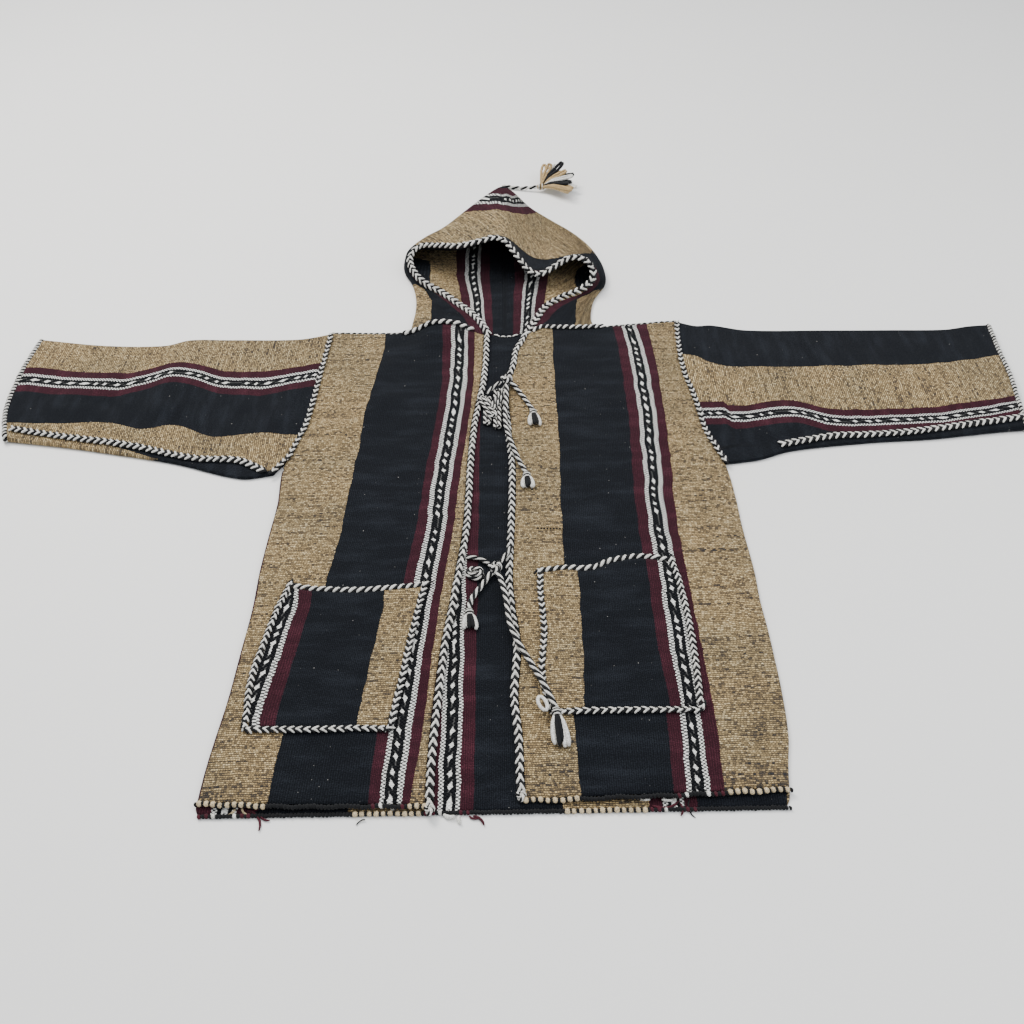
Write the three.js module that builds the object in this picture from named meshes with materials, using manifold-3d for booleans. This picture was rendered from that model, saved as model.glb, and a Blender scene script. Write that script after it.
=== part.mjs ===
// A hand-woven hooded jacket of striped wool cloth, laid flat on its back with its sleeves spread.
// Millimetres. +X is the wearer's left, +Y runs from the hem to the hood, +Z is up off the surface.
// Places are measured from the middle of the hem; the whole is then moved so that the origin is
// on the underside of the back panel, BACK_CENTRE above the hem.
import * as THREE from 'three';
import { mergeVertices } from 'three/addons/utils/BufferGeometryUtils.js';
import Module from 'manifold-3d';

// ---- driving sizes ----
const BACK_CENTRE = 400;
const CLOTH = 2;
const SEAM_GAP = 0.3;
const NECK_GAP = 0.9;
const LAY_GAP = 0.85;
const BACK_MID = CLOTH / 2;
const FRONT_MID = 4.2;
const UNDERARM = 505;
const SHOULDER = 830;
const BACK_HEM = -6;
const SLEEVE_EDGE_MID = 4.4;
const CUFF_EDGE_MID = 8.2;
const EDGE_BRAID = { width: 10, height: 5 };
const RIM_BRAID = { width: 13, height: 6.4 };
const SEAM_BRAID = { width: 10, height: 4.4 };
const POCKET_BRAID = { width: 8.4, height: 4.4 };
const CUFF_BRAID = { width: 8, height: 4.2 };
const SHOULDER_BRAID = { width: 6, height: 5.4 };
const HEM_CORD = { width: 4, height: 4 };
const TIE_CORD = 7;
const CORD_SIDES = 8;
const CORD_STEP = 2.2;
const TASSEL_HEAD = 5;
const TASSEL_YARN = 5;
const TIE_KNOT = { width: 15, length: 20, height: 12 };
const EDGE_KNOT = { width: 11, length: 15, height: 8 };

// ---- cut and lay of each half: rows up the garment, wearer's right (-X) and wearer's left (+X) ----
// hemRise: how much higher the front's hem is at the side fold than at its braid
// braid: x of the front edge's braid; side: x of the side fold, and of the armhole above the underarm
const RIGHT = {
  name: 'right',
  sign: -1,
  hem: 0,
  hemRise: 7,
  braidStart: 0,
  gusset: { y: 528, spread: 0.45 },
  front: [
    { y: -10, braid: -78, side: -316 },
    { y: 40, braid: -78.5, side: -315 },
    { y: 80, braid: -77.5, side: -312 },
    { y: 130, braid: -75, side: -307.5 },
    { y: 200, braid: -70, side: -304.5 },
    { y: 260, braid: -62.5, side: -302 },
    { y: 320, braid: -56, side: -303 },
    { y: 380, braid: -49.5, side: -301.5 },
    { y: 440, braid: -47, side: -299 },
    { y: 505, braid: -45.5, side: -302 },
    { y: 550, braid: -44, side: -293 },
    { y: 600, braid: -41, side: -282 },
    { y: 660, braid: -33.5, side: -278 },
    { y: 700, braid: -29, side: -276.5 },
    { y: 750, braid: -26, side: -274.5 },
    { y: 830, braid: -25, side: -270.5 },
  ],
  // soft folds that stand up out of the front: from (x0, y0) to (x1, y1)
  folds: [
    { x0: -270, y0: 12, x1: -120, y1: 6, width: 38, height: 3.2 },
    { x0: -292, y0: 60, x1: -286, y1: 470, width: 20, height: 2.2 },
    { x0: -262, y0: 560, x1: -176, y1: 655, width: 26, height: 3.4 },
    { x0: -214, y0: 690, x1: -150, y1: 770, width: 30, height: 2.2 },
    { x0: -96, y0: 330, x1: -84, y1: 480, width: 26, height: 2.0 },
  ],
  // sleeve: s runs from the armhole (0) to the cuff (1); far and near edges and the height of the loft
  sleeve: [
    { s: 0, far: 824, near: 500, loft: 0 },
    { s: 0.11, far: 811, near: 494, loft: 2.5 },
    { s: 0.35, far: 812, near: 525, loft: 3.5 },
    { s: 0.49, far: 813, near: 539, loft: 6 },
    { s: 0.57, far: 799, near: 546, loft: 4 },
    { s: 0.77, far: 800, near: 563, loft: 3 },
    { s: 1, far: 816, near: 578, loft: 2 },
  ],
  cuff: [
    { w: 0, x: -702 },
    { w: 0.27, x: -721 },
    { w: 0.7, x: -727 },
    { w: 1, x: -724 },
  ],
  sleeveFolds: [
    { x0: -500, y0: 800, x1: -492, y1: 640, width: 30, height: 6 },
    { x0: -345, y0: 560, x1: -300, y1: 700, width: 26, height: 3 },
    { x0: -640, y0: 650, x1: -590, y1: 720, width: 30, height: 2.5 },
  ],
  sleeveSeam: [
    { x: -700, y: 596 },
    { x: -621, y: 579 },
    { x: -524, y: 559 },
    { x: -427, y: 531 },
    { x: -365, y: 524 },
    { x: -332, y: 506 },
  ],
};
const LEFT = {
  name: 'left',
  sign: 1,
  hem: 6,
  hemRise: 7,
  braidStart: 15,
  gusset: { y: 514, spread: 0.5 },
  front: [
    { y: -10, braid: 15, side: 286 },
    { y: 35, braid: 13.5, side: 293 },
    { y: 75, braid: 13, side: 301 },
    { y: 130, braid: 9, side: 305 },
    { y: 190, braid: 13, side: 306 },
    { y: 220, braid: 12, side: 306 },
    { y: 261, braid: 7, side: 305 },
    { y: 310, braid: 5, side: 306.5 },
    { y: 385, braid: 8, side: 304.5 },
    { y: 440, braid: 10, side: 305 },
    { y: 505, braid: 11, side: 302 },
    { y: 535, braid: 9.5, side: 294 },
    { y: 565, braid: 7, side: 286 },
    { y: 610, braid: 5, side: 282 },
    { y: 662, braid: 2, side: 278 },
    { y: 700, braid: 7, side: 273 },
    { y: 734, braid: 15, side: 271.5 },
    { y: 773, braid: 20, side: 272 },
    { y: 800, braid: 31, side: 273.5 },
    { y: 843, braid: 42, side: 277 },
  ],
  folds: [
    { x0: 120, y0: 14, x1: 250, y1: 10, width: 40, height: 3.0 },
    { x0: 292, y0: 80, x1: 290, y1: 470, width: 20, height: 2.2 },
    { x0: 276, y0: 540, x1: 190, y1: 640, width: 28, height: 3.6 },
    { x0: 226, y0: 700, x1: 170, y1: 780, width: 30, height: 2.0 },
    { x0: 40, y0: 350, x1: 34, y1: 560, width: 26, height: 2.0 },
  ],
  sleeve: [
    { s: 0, far: 843, near: 508, loft: 0 },
    { s: 0.06, far: 831, near: 512, loft: 1.5 },
    { s: 0.11, far: 832, near: 516, loft: 3.5 },
    { s: 0.22, far: 817, near: 533, loft: 4 },
    { s: 0.47, far: 813, near: 547, loft: 3.5 },
    { s: 0.69, far: 810, near: 553, loft: 3 },
    { s: 0.86, far: 808, near: 562, loft: 3 },
    { s: 0.94, far: 815, near: 566, loft: 2.5 },
    { s: 1, far: 817, near: 568, loft: 2 },
  ],
  cuff: [
    { w: 0, x: 733 },
    { w: 0.24, x: 741 },
    { w: 0.48, x: 750 },
    { w: 0.75, x: 755 },
    { w: 1, x: 763 },
  ],
  sleeveFolds: [
    { x0: 321, y0: 720, x1: 330, y1: 590, width: 13, height: 3.4 },
    { x0: 380, y0: 560, x1: 452, y1: 600, width: 26, height: 4 },
    { x0: 560, y0: 690, x1: 640, y1: 640, width: 34, height: 3 },
  ],
  sleeveSeam: [
    { x: 386, y: 541 },
    { x: 461, y: 556 },
    { x: 511, y: 558 },
    { x: 576, y: 563 },
    { x: 646, y: 573 },
    { x: 698, y: 581 },
    { x: 736, y: 587 },
  ],
};
// pockets: rows up each pocket give the x of its two braids; sag and rise shape the open top edge
const POCKETS = {
  right: {
    rows: [
      { y: 90, outer: -281, inner: -125 },
      { y: 150, outer: -285, inner: -117 },
      { y: 205, outer: -279, inner: -111 },
      { y: 258, outer: -271, inner: -103 },
      { y: 294, outer: -262, inner: -97 },
    ],
    mouth: [
      { a: 0, y: 0 },
      { a: 0.45, y: -7 },
      { a: 0.75, y: -5 },
      { a: 1, y: 2 },
    ],
  },
  left: {
    rows: [
      { y: 108, outer: 212, inner: 50 },
      { y: 158, outer: 215, inner: 41 },
      { y: 220, outer: 216, inner: 45 },
      { y: 285, outer: 212, inner: 43 },
      { y: 320, outer: 207, inner: 44 },
    ],
    mouth: [
      { a: 0, y: -7 },
      { a: 0.18, y: -2 },
      { a: 0.38, y: -3 },
      { a: 0.55, y: 9 },
      { a: 0.78, y: 15 },
      { a: 1, y: 7 },
    ],
  },
};
// shoulder and neck line: front and back cloth end here; lift is how far the front stands up at the neck
const TOP_EDGE = [
  { x: -271, front: 824, back: 824, lift: 0 },
  { x: -187, front: 821, back: 821, lift: 0 },
  { x: -146, front: 822, back: 822, lift: 1 },
  { x: -112, front: 824, back: 822, lift: 16 },
  { x: -77, front: 824, back: 821, lift: 16 },
  { x: -54, front: 820, back: 820, lift: 8 },
  { x: -28, front: 812, back: 819, lift: 2 },
  { x: 38, front: 812, back: 820, lift: 2 },
  { x: 60, front: 822, back: 822, lift: 7 },
  { x: 84, front: 826, back: 824, lift: 3 },
  { x: 146, front: 829, back: 829, lift: 1 },
  { x: 219, front: 837, back: 837, lift: 0 },
  { x: 277, front: 843, back: 843, lift: 0 },
];
const NECK_SIDE = 146;
const NECK_BRAID_INNER = 46;
const NECK_LIFT_REACH = 55;
// hood: each rib runs from the face opening's braid (rim) over the outer fold (out) and under the hood
// to the back seam (spine). fold is the height of the upper cloth at the outline; steep is how fast the
// cloth drops behind the rim. The first and last ribs are the neck seams.
const HOOD_RIBS = [
  { rimX: -24, rimY: 816, rimZ: 7, outX: -146, outY: 822, fold: 5, spine: 819, steep: 1 },
  { rimX: -33, rimY: 838, rimZ: 9, outX: -144, outY: 850, fold: 5, spine: 845, steep: 1 },
  { rimX: -50, rimY: 868, rimZ: 10, outX: -141, outY: 885, fold: 5, spine: 870, steep: 1 },
  { rimX: -73, rimY: 896, rimZ: 11, outX: -142, outY: 920, fold: 5.5, spine: 900, steep: 1 },
  { rimX: -100, rimY: 926, rimZ: 13, outX: -148, outY: 954, fold: 7, spine: 930, steep: 1 },
  { rimX: -130, rimY: 951, rimZ: 16, outX: -155, outY: 974, fold: 9, spine: 960, steep: 1 },
  { rimX: -150, rimY: 980, rimZ: 21, outX: -166, outY: 1000, fold: 12, spine: 990, steep: 1.2 },
  { rimX: -156, rimY: 1010, rimZ: 28, outX: -168, outY: 1034, fold: 14, spine: 1020, steep: 1.5 },
  { rimX: -141, rimY: 1028, rimZ: 39, outX: -162, outY: 1070, fold: 12, spine: 1050, steep: 2 },
  { rimX: -108, rimY: 1010, rimZ: 51, outX: -137, outY: 1112, fold: 9, spine: 1085, steep: 2.6 },
  { rimX: -72, rimY: 990, rimZ: 61, outX: -104, outY: 1150, fold: 7, spine: 1120, steep: 3 },
  { rimX: -38, rimY: 993, rimZ: 67, outX: -64, outY: 1214, fold: 6, spine: 1175, steep: 3.3 },
  { rimX: -13, rimY: 1001, rimZ: 69, outX: -27, outY: 1271, fold: 5, spine: 1235, steep: 3.5 },
  { rimX: 6, rimY: 996, rimZ: 65, outX: 0, outY: 1300, fold: 4.6, spine: 1278, steep: 3.4 },
  { rimX: 24, rimY: 978, rimZ: 50, outX: 21, outY: 1280, fold: 5, spine: 1235, steep: 3 },
  { rimX: 43, rimY: 958, rimZ: 34, outX: 52, outY: 1218, fold: 6, spine: 1175, steep: 2 },
  { rimX: 62, rimY: 953, rimZ: 28, outX: 88, outY: 1169, fold: 7, spine: 1120, steep: 1.8 },
  { rimX: 86, rimY: 959, rimZ: 37, outX: 118, outY: 1130, fold: 9, spine: 1085, steep: 2.2 },
  { rimX: 110, rimY: 965, rimZ: 49, outX: 141, outY: 1092, fold: 12, spine: 1050, steep: 2.4 },
  { rimX: 131, rimY: 963, rimZ: 50, outX: 158, outY: 1050, fold: 16, spine: 1020, steep: 2.2 },
  { rimX: 147, rimY: 955, rimZ: 40, outX: 171, outY: 996, fold: 19, spine: 990, steep: 1.6 },
  { rimX: 149, rimY: 938, rimZ: 27, outX: 172, outY: 955, fold: 15, spine: 960, steep: 1.3 },
  { rimX: 129, rimY: 920, rimZ: 18, outX: 158, outY: 928, fold: 9, spine: 930, steep: 1 },
  { rimX: 98, rimY: 905, rimZ: 14, outX: 149, outY: 908, fold: 6, spine: 900, steep: 1 },
  { rimX: 70, rimY: 882, rimZ: 12, outX: 143, outY: 880, fold: 5, spine: 870, steep: 1 },
  { rimX: 53, rimY: 848, rimZ: 10, outX: 141, outY: 852, fold: 5, spine: 845, steep: 1 },
  { rimX: 38.5, rimY: 818.2, rimZ: 7, outX: 146, outY: 829, fold: 5, spine: 819, steep: 1 },
];
const RIM_DROP = 0.25;
const NECK_RIB_SHORTER = 1.6;
const HOOD_UPPER_STEPS = [0, 0.08, 0.18, 0.3, 0.44, 0.6, 0.78, 1];
const HOOD_UNDER_STEPS = [0, 0.25, 0.5, 0.75, 1];

// ties: the routes of their cords over the cloth
const UPPER_TIE = {
  knot: { x: 5, y: 689, z: 14.2 },
  bridges: [
    [[-24.9, 665.3, 6.6], [-20.3, 669, 8.6], [-14, 675, 11.7], [-8, 680, 12.4], [-3.6, 683.9, 13.4]],
  ],
  loops: [
    { x: -22, y: 624, z: 5.4, width: 13, length: 70, turn: 0 },
    { x: -9.8, y: 632, z: 5.4, width: 13, length: 88, turn: 0 },
  ],
  ends: [
    {
      name: 'long',
      route: [[5.5, 678.8, 12.1], [5, 665, 11.9], [4.5, 650, 11.7], [4, 634, 11.7], [2.5, 610, 11.9],
        [3, 588, 12.3], [6.5, 566, 12.7], [10.5, 548, 12.9], [15, 532, 12.5], [20, 514, 11.6],
        [26, 497, 11.7], [30, 486, 12.5]],
      tassel: { dx: 3, dy: -29, tipZ: 10.8 },
    },
    {
      name: 'short',
      route: [[11.9, 682.8, 12.7], [19, 672, 10.8], [25, 661, 9.5], [31, 649, 9.3], [37, 634, 9.4],
        [42, 620, 11.2]],
      tassel: { dx: 4, dy: -32, tipZ: 9.4 },
    },
  ],
};
const LOWER_TIE = {
  knot: { x: -12, y: 319, z: 8.5 },
  bridges: [
    [[-48, 339, 6], [-38, 338, 6.2], [-29, 334, 6.8], [-19, 325.8, 8.1]],
    [[-5.2, 327, 9.6], [0, 334, 11.8], [4, 341, 12], [8, 349, 12]],
  ],
  loops: [
    { x: -36, y: 312, z: 5.4, width: 17, length: 28, turn: 1.1 },
  ],
  ends: [
    {
      name: 'short',
      route: [[-16.7, 310.6, 7.8], [-24, 299, 6.2], [-30, 289, 6.2], [-36, 279, 6.2], [-41, 268, 6.4],
        [-43, 254, 7.5]],
      tassel: { dx: 3, dy: -29, tipZ: 5.7 },
    },
    {
      name: 'long',
      route: [[-8.6, 309.7, 8.8], [-5.4, 300, 9.8], [-3, 290, 10.9], [0, 276, 11.2], [2, 260, 11.4],
        [3.5, 244, 11.3], [5.5, 230, 11.4], [9, 216, 11.8], [14, 203, 11.8], [20, 190, 10],
        [27, 176, 9.5], [33, 162, 10.8], [38, 150, 13.6], [43, 138, 14.8], [49, 122, 14.8],
        [54, 107, 15.9]],
      tassel: { dx: 5, dy: -46, tipZ: 9 },
    },
  ],
};
const HOOD_TASSEL = {
  route: [[1, 1304, 4.6], [11, 1300.6, 4.2], [22, 1297, 4.2], [34, 1294, 4.6], [46, 1291, 6],
    [58, 1289, 7.9], [66.9, 1288, 9.2]],
  head: { x: 75, y: 1287, z: 10, length: 16, width: 12 },
  locks: 18,
  length: 58,
  yarn: 4.6,
  turnFrom: -0.62,
  turnTo: 1.42,
  lifts: [0.6, 0.12, 0.36],
  lengths: [1, 0.86, 0.94, 0.8],
};

const { lerp, clamp } = THREE.MathUtils;
const point = (x, y, z) => new THREE.Vector3(x, y, z);

// ---- reading the tables ----
// Smooth value of one column of a table whose rows rise in the column called key.
function along(table, key, at, name) {
  const last = table.length - 1;
  let i = 0;
  while (i < last - 1 && at > table[i + 1][key]) i += 1;
  const span = table[i + 1][key] - table[i][key];
  const t = clamp((at - table[i][key]) / span, 0, 1);
  const slope = (j) => {
    const before = table[Math.max(j - 1, 0)];
    const after = table[Math.min(j + 1, last)];
    return (after[name] - before[name]) / (after[key] - before[key]);
  };
  const [t2, t3] = [t * t, t * t * t];
  return (2 * t3 - 3 * t2 + 1) * table[i][name] + (t3 - 2 * t2 + t) * span * slope(i)
    + (3 * t2 - 2 * t3) * table[i + 1][name] + (t3 - t2) * span * slope(i + 1);
}

// Height that soft folds add at a place: each is a rounded ridge along a straight line.
function foldHeight(folds, x, y) {
  let height = 0;
  for (const fold of folds) {
    const [dx, dy] = [fold.x1 - fold.x0, fold.y1 - fold.y0];
    const t = clamp(((x - fold.x0) * dx + (y - fold.y0) * dy) / (dx * dx + dy * dy), 0, 1);
    const away = Math.hypot(x - fold.x0 - t * dx, y - fold.y0 - t * dy) / fold.width;
    height += fold.height * Math.exp(-away * away);
  }
  return height;
}

const topFront = (x) => along(TOP_EDGE, 'x', x, 'front');
const topBack = (x) => along(TOP_EDGE, 'x', x, 'back');
const braidX = (half, y) => along(half.front, 'y', y, 'braid');
const sideX = (half, y) => along(half.front, 'y', y, 'side');
const edgeX = (half, y) => braidX(half, y) + half.sign * (EDGE_BRAID.width / 2 + SEAM_GAP);

// Middle of the front cloth's thickness above the surface.
function frontHeight(half, x, y) {
  const below = (topFront(x) - y) / NECK_LIFT_REACH;
  const lift = along(TOP_EDGE, 'x', x, 'lift') * Math.exp(-below * below);
  return FRONT_MID + Math.max(0, lift) + foldHeight(half.folds, x, y);
}

// ---- making solids ----
function geometryOf(vertices, triangles) {
  const geometry = new THREE.BufferGeometry();
  const coordinates = vertices.flatMap((v) => [v.x, v.y, v.z]);
  geometry.setAttribute('position', new THREE.Float32BufferAttribute(coordinates, 3));
  geometry.setIndex(triangles);
  geometry.computeVertexNormals();
  return geometry;
}

// A cloth wall of even thickness about a sheet of four-sided cells, closed along its borders.
// A cell lists its corners anticlockwise as seen from outside the garment.
function clothWall(points, cells) {
  const normals = points.map(() => point(0, 0, 0));
  for (const [a, b, c, d] of cells) {
    const across = points[c].clone().sub(points[a]);
    const normal = across.cross(points[d].clone().sub(points[b]));
    for (const corner of [a, b, c, d]) normals[corner].add(normal);
  }
  const used = [...new Set(cells.flat())];
  const place = new Map(used.map((corner, i) => [corner, i]));
  const shifted = (sign) => used.map((corner) => (
    points[corner].clone().addScaledVector(normals[corner].normalize(), sign * CLOTH / 2)));
  const vertices = [...shifted(1), ...shifted(-1)];
  const inner = used.length;
  const edges = new Set(cells.flatMap((cell) => cell.map((corner, i) => `${corner},${cell[(i + 1) % 4]}`)));
  const triangles = [];
  for (const cell of cells) {
    const [a, b, c, d] = cell.map((corner) => place.get(corner));
    triangles.push(a, b, c, a, c, d);
    triangles.push(inner + a, inner + c, inner + b, inner + a, inner + d, inner + c);
    for (let i = 0; i < 4; i += 1) {
      const [from, to] = [cell[i], cell[(i + 1) % 4]];
      if (!edges.has(`${to},${from}`)) {
        const [p, q] = [place.get(from), place.get(to)];
        triangles.push(q, p, inner + p, q, inner + p, inner + q);
      }
    }
  }
  return geometryOf(vertices, triangles);
}

// A plump band swept along points; acrossAt gives the direction of its width at each point.
function band(path, acrossAt, { width, height }, { closed = false, sides = 6 } = {}) {
  const count = path.length;
  const radius = width / (2 * Math.cos(Math.PI / sides));
  const vertices = [];
  path.forEach((p, i) => {
    const before = path[closed ? (i + count - 1) % count : Math.max(i - 1, 0)];
    const after = path[closed ? (i + 1) % count : Math.min(i + 1, count - 1)];
    const tangent = after.clone().sub(before).normalize();
    const up = acrossAt(i, tangent).cross(tangent).normalize();
    const across = tangent.clone().cross(up);
    for (let k = 0; k < sides; k += 1) {
      const angle = (2 * Math.PI * (k + 0.5)) / sides;
      vertices.push(p.clone().addScaledVector(across, Math.cos(angle) * radius)
        .addScaledVector(up, Math.sin(angle) * height / 2));
    }
  });
  const triangles = [];
  const rings = closed ? count : count - 1;
  for (let i = 0; i < rings; i += 1) {
    const [here, next] = [i * sides, ((i + 1) % count) * sides];
    for (let k = 0; k < sides; k += 1) {
      const turn = (k + 1) % sides;
      triangles.push(here + k, next + turn, here + turn, here + k, next + k, next + turn);
    }
  }
  if (!closed) {
    const end = (count - 1) * sides;
    for (let k = 1; k < sides - 1; k += 1) {
      triangles.push(0, k, k + 1, end, end + k + 1, end + k);
    }
  }
  return geometryOf(vertices, triangles);
}
const levelAcross = (i, tangent) => tangent.clone().cross(point(0, 0, 1));

function roundKnot(place, { width, length, height }, turn = 0) {
  const knot = new THREE.SphereGeometry(0.5, 10, 7);
  knot.scale(width, length, height);
  knot.rotateZ(turn);
  knot.translate(place.x, place.y, place.z);
  return knot;
}

// A round cord of eight sides along hand-laid points.
function cord(route, diameter) {
  const curve = new THREE.CatmullRomCurve3(route.map((p) => point(...p)), false, 'centripetal');
  const section = new THREE.Shape();
  for (let k = 0; k < CORD_SIDES; k += 1) {
    const angle = (2 * Math.PI * k) / CORD_SIDES;
    const [x, y] = [Math.cos(angle) * diameter / 2, Math.sin(angle) * diameter / 2];
    if (k === 0) section.moveTo(x, y);
    else section.lineTo(x, y);
  }
  const steps = Math.max(3, Math.round(curve.getLength() / (CORD_STEP * diameter)));
  return new THREE.ExtrudeGeometry(section, { steps, bevelEnabled: false, extrudePath: curve });
}

const wasm = await Module();
wasm.setup();

// Joins closed geometries into one body.
function fuse(geometries) {
  const solids = geometries.map((geometry) => {
    const bare = geometry.clone();
    bare.deleteAttribute('normal');
    bare.deleteAttribute('uv');
    const merged = mergeVertices(bare, 1e-4);
    return new wasm.Manifold(new wasm.Mesh({
      numProp: 3,
      vertProperties: new Float32Array(merged.attributes.position.array),
      triVerts: new Uint32Array(merged.index.array),
    }));
  });
  const mesh = solids.reduce((whole, solid) => whole.add(solid)).getMesh();
  const joined = new THREE.BufferGeometry();
  joined.setAttribute('position', new THREE.BufferAttribute(mesh.vertProperties, 3));
  joined.setIndex(new THREE.BufferAttribute(mesh.triVerts, 1));
  joined.computeVertexNormals();
  return joined;
}

// ---- body: one cloth round both sides, slit above the underarms ----
const FRONT_STEPS = [0, 0.05, 0.1, 0.17, 0.24, 0.31, 0.38, 0.45, 0.52, 0.66, 0.8, 0.92, 1];
const BACK_STEPS = [0, 0.1, 0.2, 0.32, 0.44, 0.56, 0.68, 0.8, 0.9, 1];
const FOLD_TURNS = [0.25, 0.5, 0.75];
const LOWER_ROWS = 12;
const UPPER_ROWS = 8;

function bodyColumns() {
  const front = (half, steps) => steps.map((u) => ({ kind: 'front', half, u }));
  const fold = (half, turns) => turns.map((u) => ({ kind: 'fold', half, u }));
  const back = BACK_STEPS.map((u) => ({ kind: 'back', u }));
  const backwards = (steps) => [...steps].reverse();
  return [...front(RIGHT, FRONT_STEPS), ...fold(RIGHT, FOLD_TURNS), ...back,
    ...fold(LEFT, backwards(FOLD_TURNS)), ...front(LEFT, backwards(FRONT_STEPS))];
}

// The front's hem rises towards the side fold.
const frontHem = (half, u) => half.hem + half.hemRise * u ** 3;

const sideRadius = (half, y) => (frontHeight(half, sideX(half, y), y) - BACK_MID) / 2;

function bodyPoint(column, row) {
  const upper = row > LOWER_ROWS;
  const part = upper ? (row - LOWER_ROWS) / UPPER_ROWS : row / LOWER_ROWS;
  const rowY = (hem, top) => (upper ? lerp(UNDERARM, top, part) : lerp(hem, UNDERARM, part));
  const { kind, half, u } = column;
  const inset = (side, y) => (upper ? 0 : sideRadius(side, y));
  const settle = (xAt, hem, top) => {
    const x = xAt(rowY(hem, top(xAt(rowY(hem, SHOULDER)))));
    const y = rowY(hem, top(x));
    return [xAt(y), y];
  };
  if (kind === 'front') {
    const xAt = (y) => lerp(edgeX(half, y), sideX(half, y) - half.sign * inset(half, y), u);
    const [x, y] = settle(xAt, frontHem(half, u), topFront);
    return point(x, y, frontHeight(half, x, y));
  }
  if (kind === 'back') {
    const xAt = (y) => lerp(sideX(RIGHT, y) + inset(RIGHT, y), sideX(LEFT, y) - inset(LEFT, y), u);
    const [x, y] = settle(xAt, BACK_HEM, topBack);
    return point(x, y, BACK_MID);
  }
  const y = rowY(lerp(frontHem(half, 1), BACK_HEM, u), SHOULDER);
  const radius = sideRadius(half, y);
  const angle = Math.PI * u;
  const x = sideX(half, y) - half.sign * radius * (1 - Math.sin(angle));
  return point(x, y, BACK_MID + radius * (1 + Math.cos(angle)));
}

function body() {
  const columns = bodyColumns();
  const rows = LOWER_ROWS + UPPER_ROWS + 1;
  const points = columns.flatMap((column) => [...Array(rows).keys()].map((row) => bodyPoint(column, row)));
  const cells = [];
  for (let i = 0; i < columns.length - 1; i += 1) {
    const folded = columns[i].kind === 'fold' || columns[i + 1].kind === 'fold';
    for (let row = 0; row < (folded ? LOWER_ROWS : rows - 1); row += 1) {
      const [a, b] = [i * rows + row, (i + 1) * rows + row];
      cells.push([a, a + 1, b + 1, b]);
    }
  }
  return clothWall(points, cells);
}

// ---- sleeves: flattened tubes from the armhole to the cuff ----
const SLEEVE_STEPS = [0, 0.05, 0.1, 0.17, 0.26, 0.35, 0.43, 0.5, 0.58, 0.67, 0.76, 0.85, 0.93, 1];

// The sleeve's places across are those of the body's rows along the armhole.
function sleeveAcross(half) {
  const { near, far } = half.sleeve[0];
  const rows = [...Array(UPPER_ROWS + 1).keys()].map((row) => lerp(UNDERARM, far, row / UPPER_ROWS));
  return [0, ...rows.map((y) => (y - near) / (far - near)).filter((w) => w > 0.01)];
}

// x of the sleeve's sewn end: the armhole, spread outwards under the arm
function headX(half, y) {
  return sideX(half, y) + half.sign * (SEAM_GAP + half.gusset.spread * Math.max(0, half.gusset.y - y));
}

function sleevePlan(half, s, w) {
  const startY = lerp(half.sleeve[0].near, half.sleeve[0].far, w);
  const y = lerp(along(half.sleeve, 's', s, 'near'), along(half.sleeve, 's', s, 'far'), w);
  return { x: lerp(headX(half, startY), along(half.cuff, 'w', w, 'x'), s), y };
}

// Middle of the sleeve's upper cloth above the surface.
function sleeveHeight(half, s, w) {
  const { x, y } = sleevePlan(half, s, w);
  const dome = Math.sin(Math.PI * clamp(w, 0, 1));
  const rest = lerp(SLEEVE_EDGE_MID, CUFF_EDGE_MID, s * s * s);
  const start = clamp(s / 0.1, 0, 1);
  return rest + along(half.sleeve, 's', s, 'loft') * dome + start * dome * foldHeight(half.sleeveFolds, x, y);
}

// One ring round the flattened sleeve; floor is the height of its under cloth.
function sleeveRing(half, s, floor = BACK_MID, extra = 0) {
  const ring = [];
  const span = along(half.sleeve, 's', s, 'far') - along(half.sleeve, 's', s, 'near');
  const radius = (w) => (sleeveHeight(half, s, w) + extra - floor) / 2;
  const add = (w, inset, z) => {
    const { x, y } = sleevePlan(half, s, w);
    ring.push(point(x, y + inset, z));
  };
  const across = sleeveAcross(half).map((w) => clamp(w, radius(0) / span, 1 - radius(1) / span));
  for (const w of across) add(w, 0, sleeveHeight(half, s, w) + extra);
  for (const turn of FOLD_TURNS) {
    const [r, angle] = [radius(1), Math.PI * turn];
    add(1, -r * (1 - Math.sin(angle)), floor + r * (1 + Math.cos(angle)));
  }
  for (const w of [...across].reverse()) add(w, 0, floor);
  for (const turn of FOLD_TURNS) {
    const [r, angle] = [radius(0), Math.PI * turn];
    add(0, r * (1 - Math.sin(angle)), floor + r * (1 - Math.cos(angle)));
  }
  return ring;
}

function sleeve(half) {
  const rings = SLEEVE_STEPS.map((s) => sleeveRing(half, s));
  const size = rings[0].length;
  const cells = [];
  for (let i = 0; i < rings.length - 1; i += 1) {
    for (let k = 0; k < size; k += 1) {
      const [a, b] = [i * size + k, (i + 1) * size + k];
      const [c, d] = [i * size + ((k + 1) % size), (i + 1) * size + ((k + 1) % size)];
      cells.push(half.sign > 0 ? [a, b, d, c] : [a, c, d, b]);
    }
  }
  return clothWall(rings.flat(), cells);
}

// ---- hood: ribs from the face opening over the outline to the back seam ----
function outlineNormal(index) {
  const before = HOOD_RIBS[Math.max(index - 1, 0)];
  const after = HOOD_RIBS[Math.min(index + 1, HOOD_RIBS.length - 1)];
  const tangent = point(after.outX - before.outX, after.outY - before.outY, 0).normalize();
  return point(-tangent.y, tangent.x, 0);
}

const rimPoint = (index) => {
  const rib = HOOD_RIBS[clamp(index, 0, HOOD_RIBS.length - 1)];
  return point(rib.rimX, rib.rimY, rib.rimZ);
};

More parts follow.
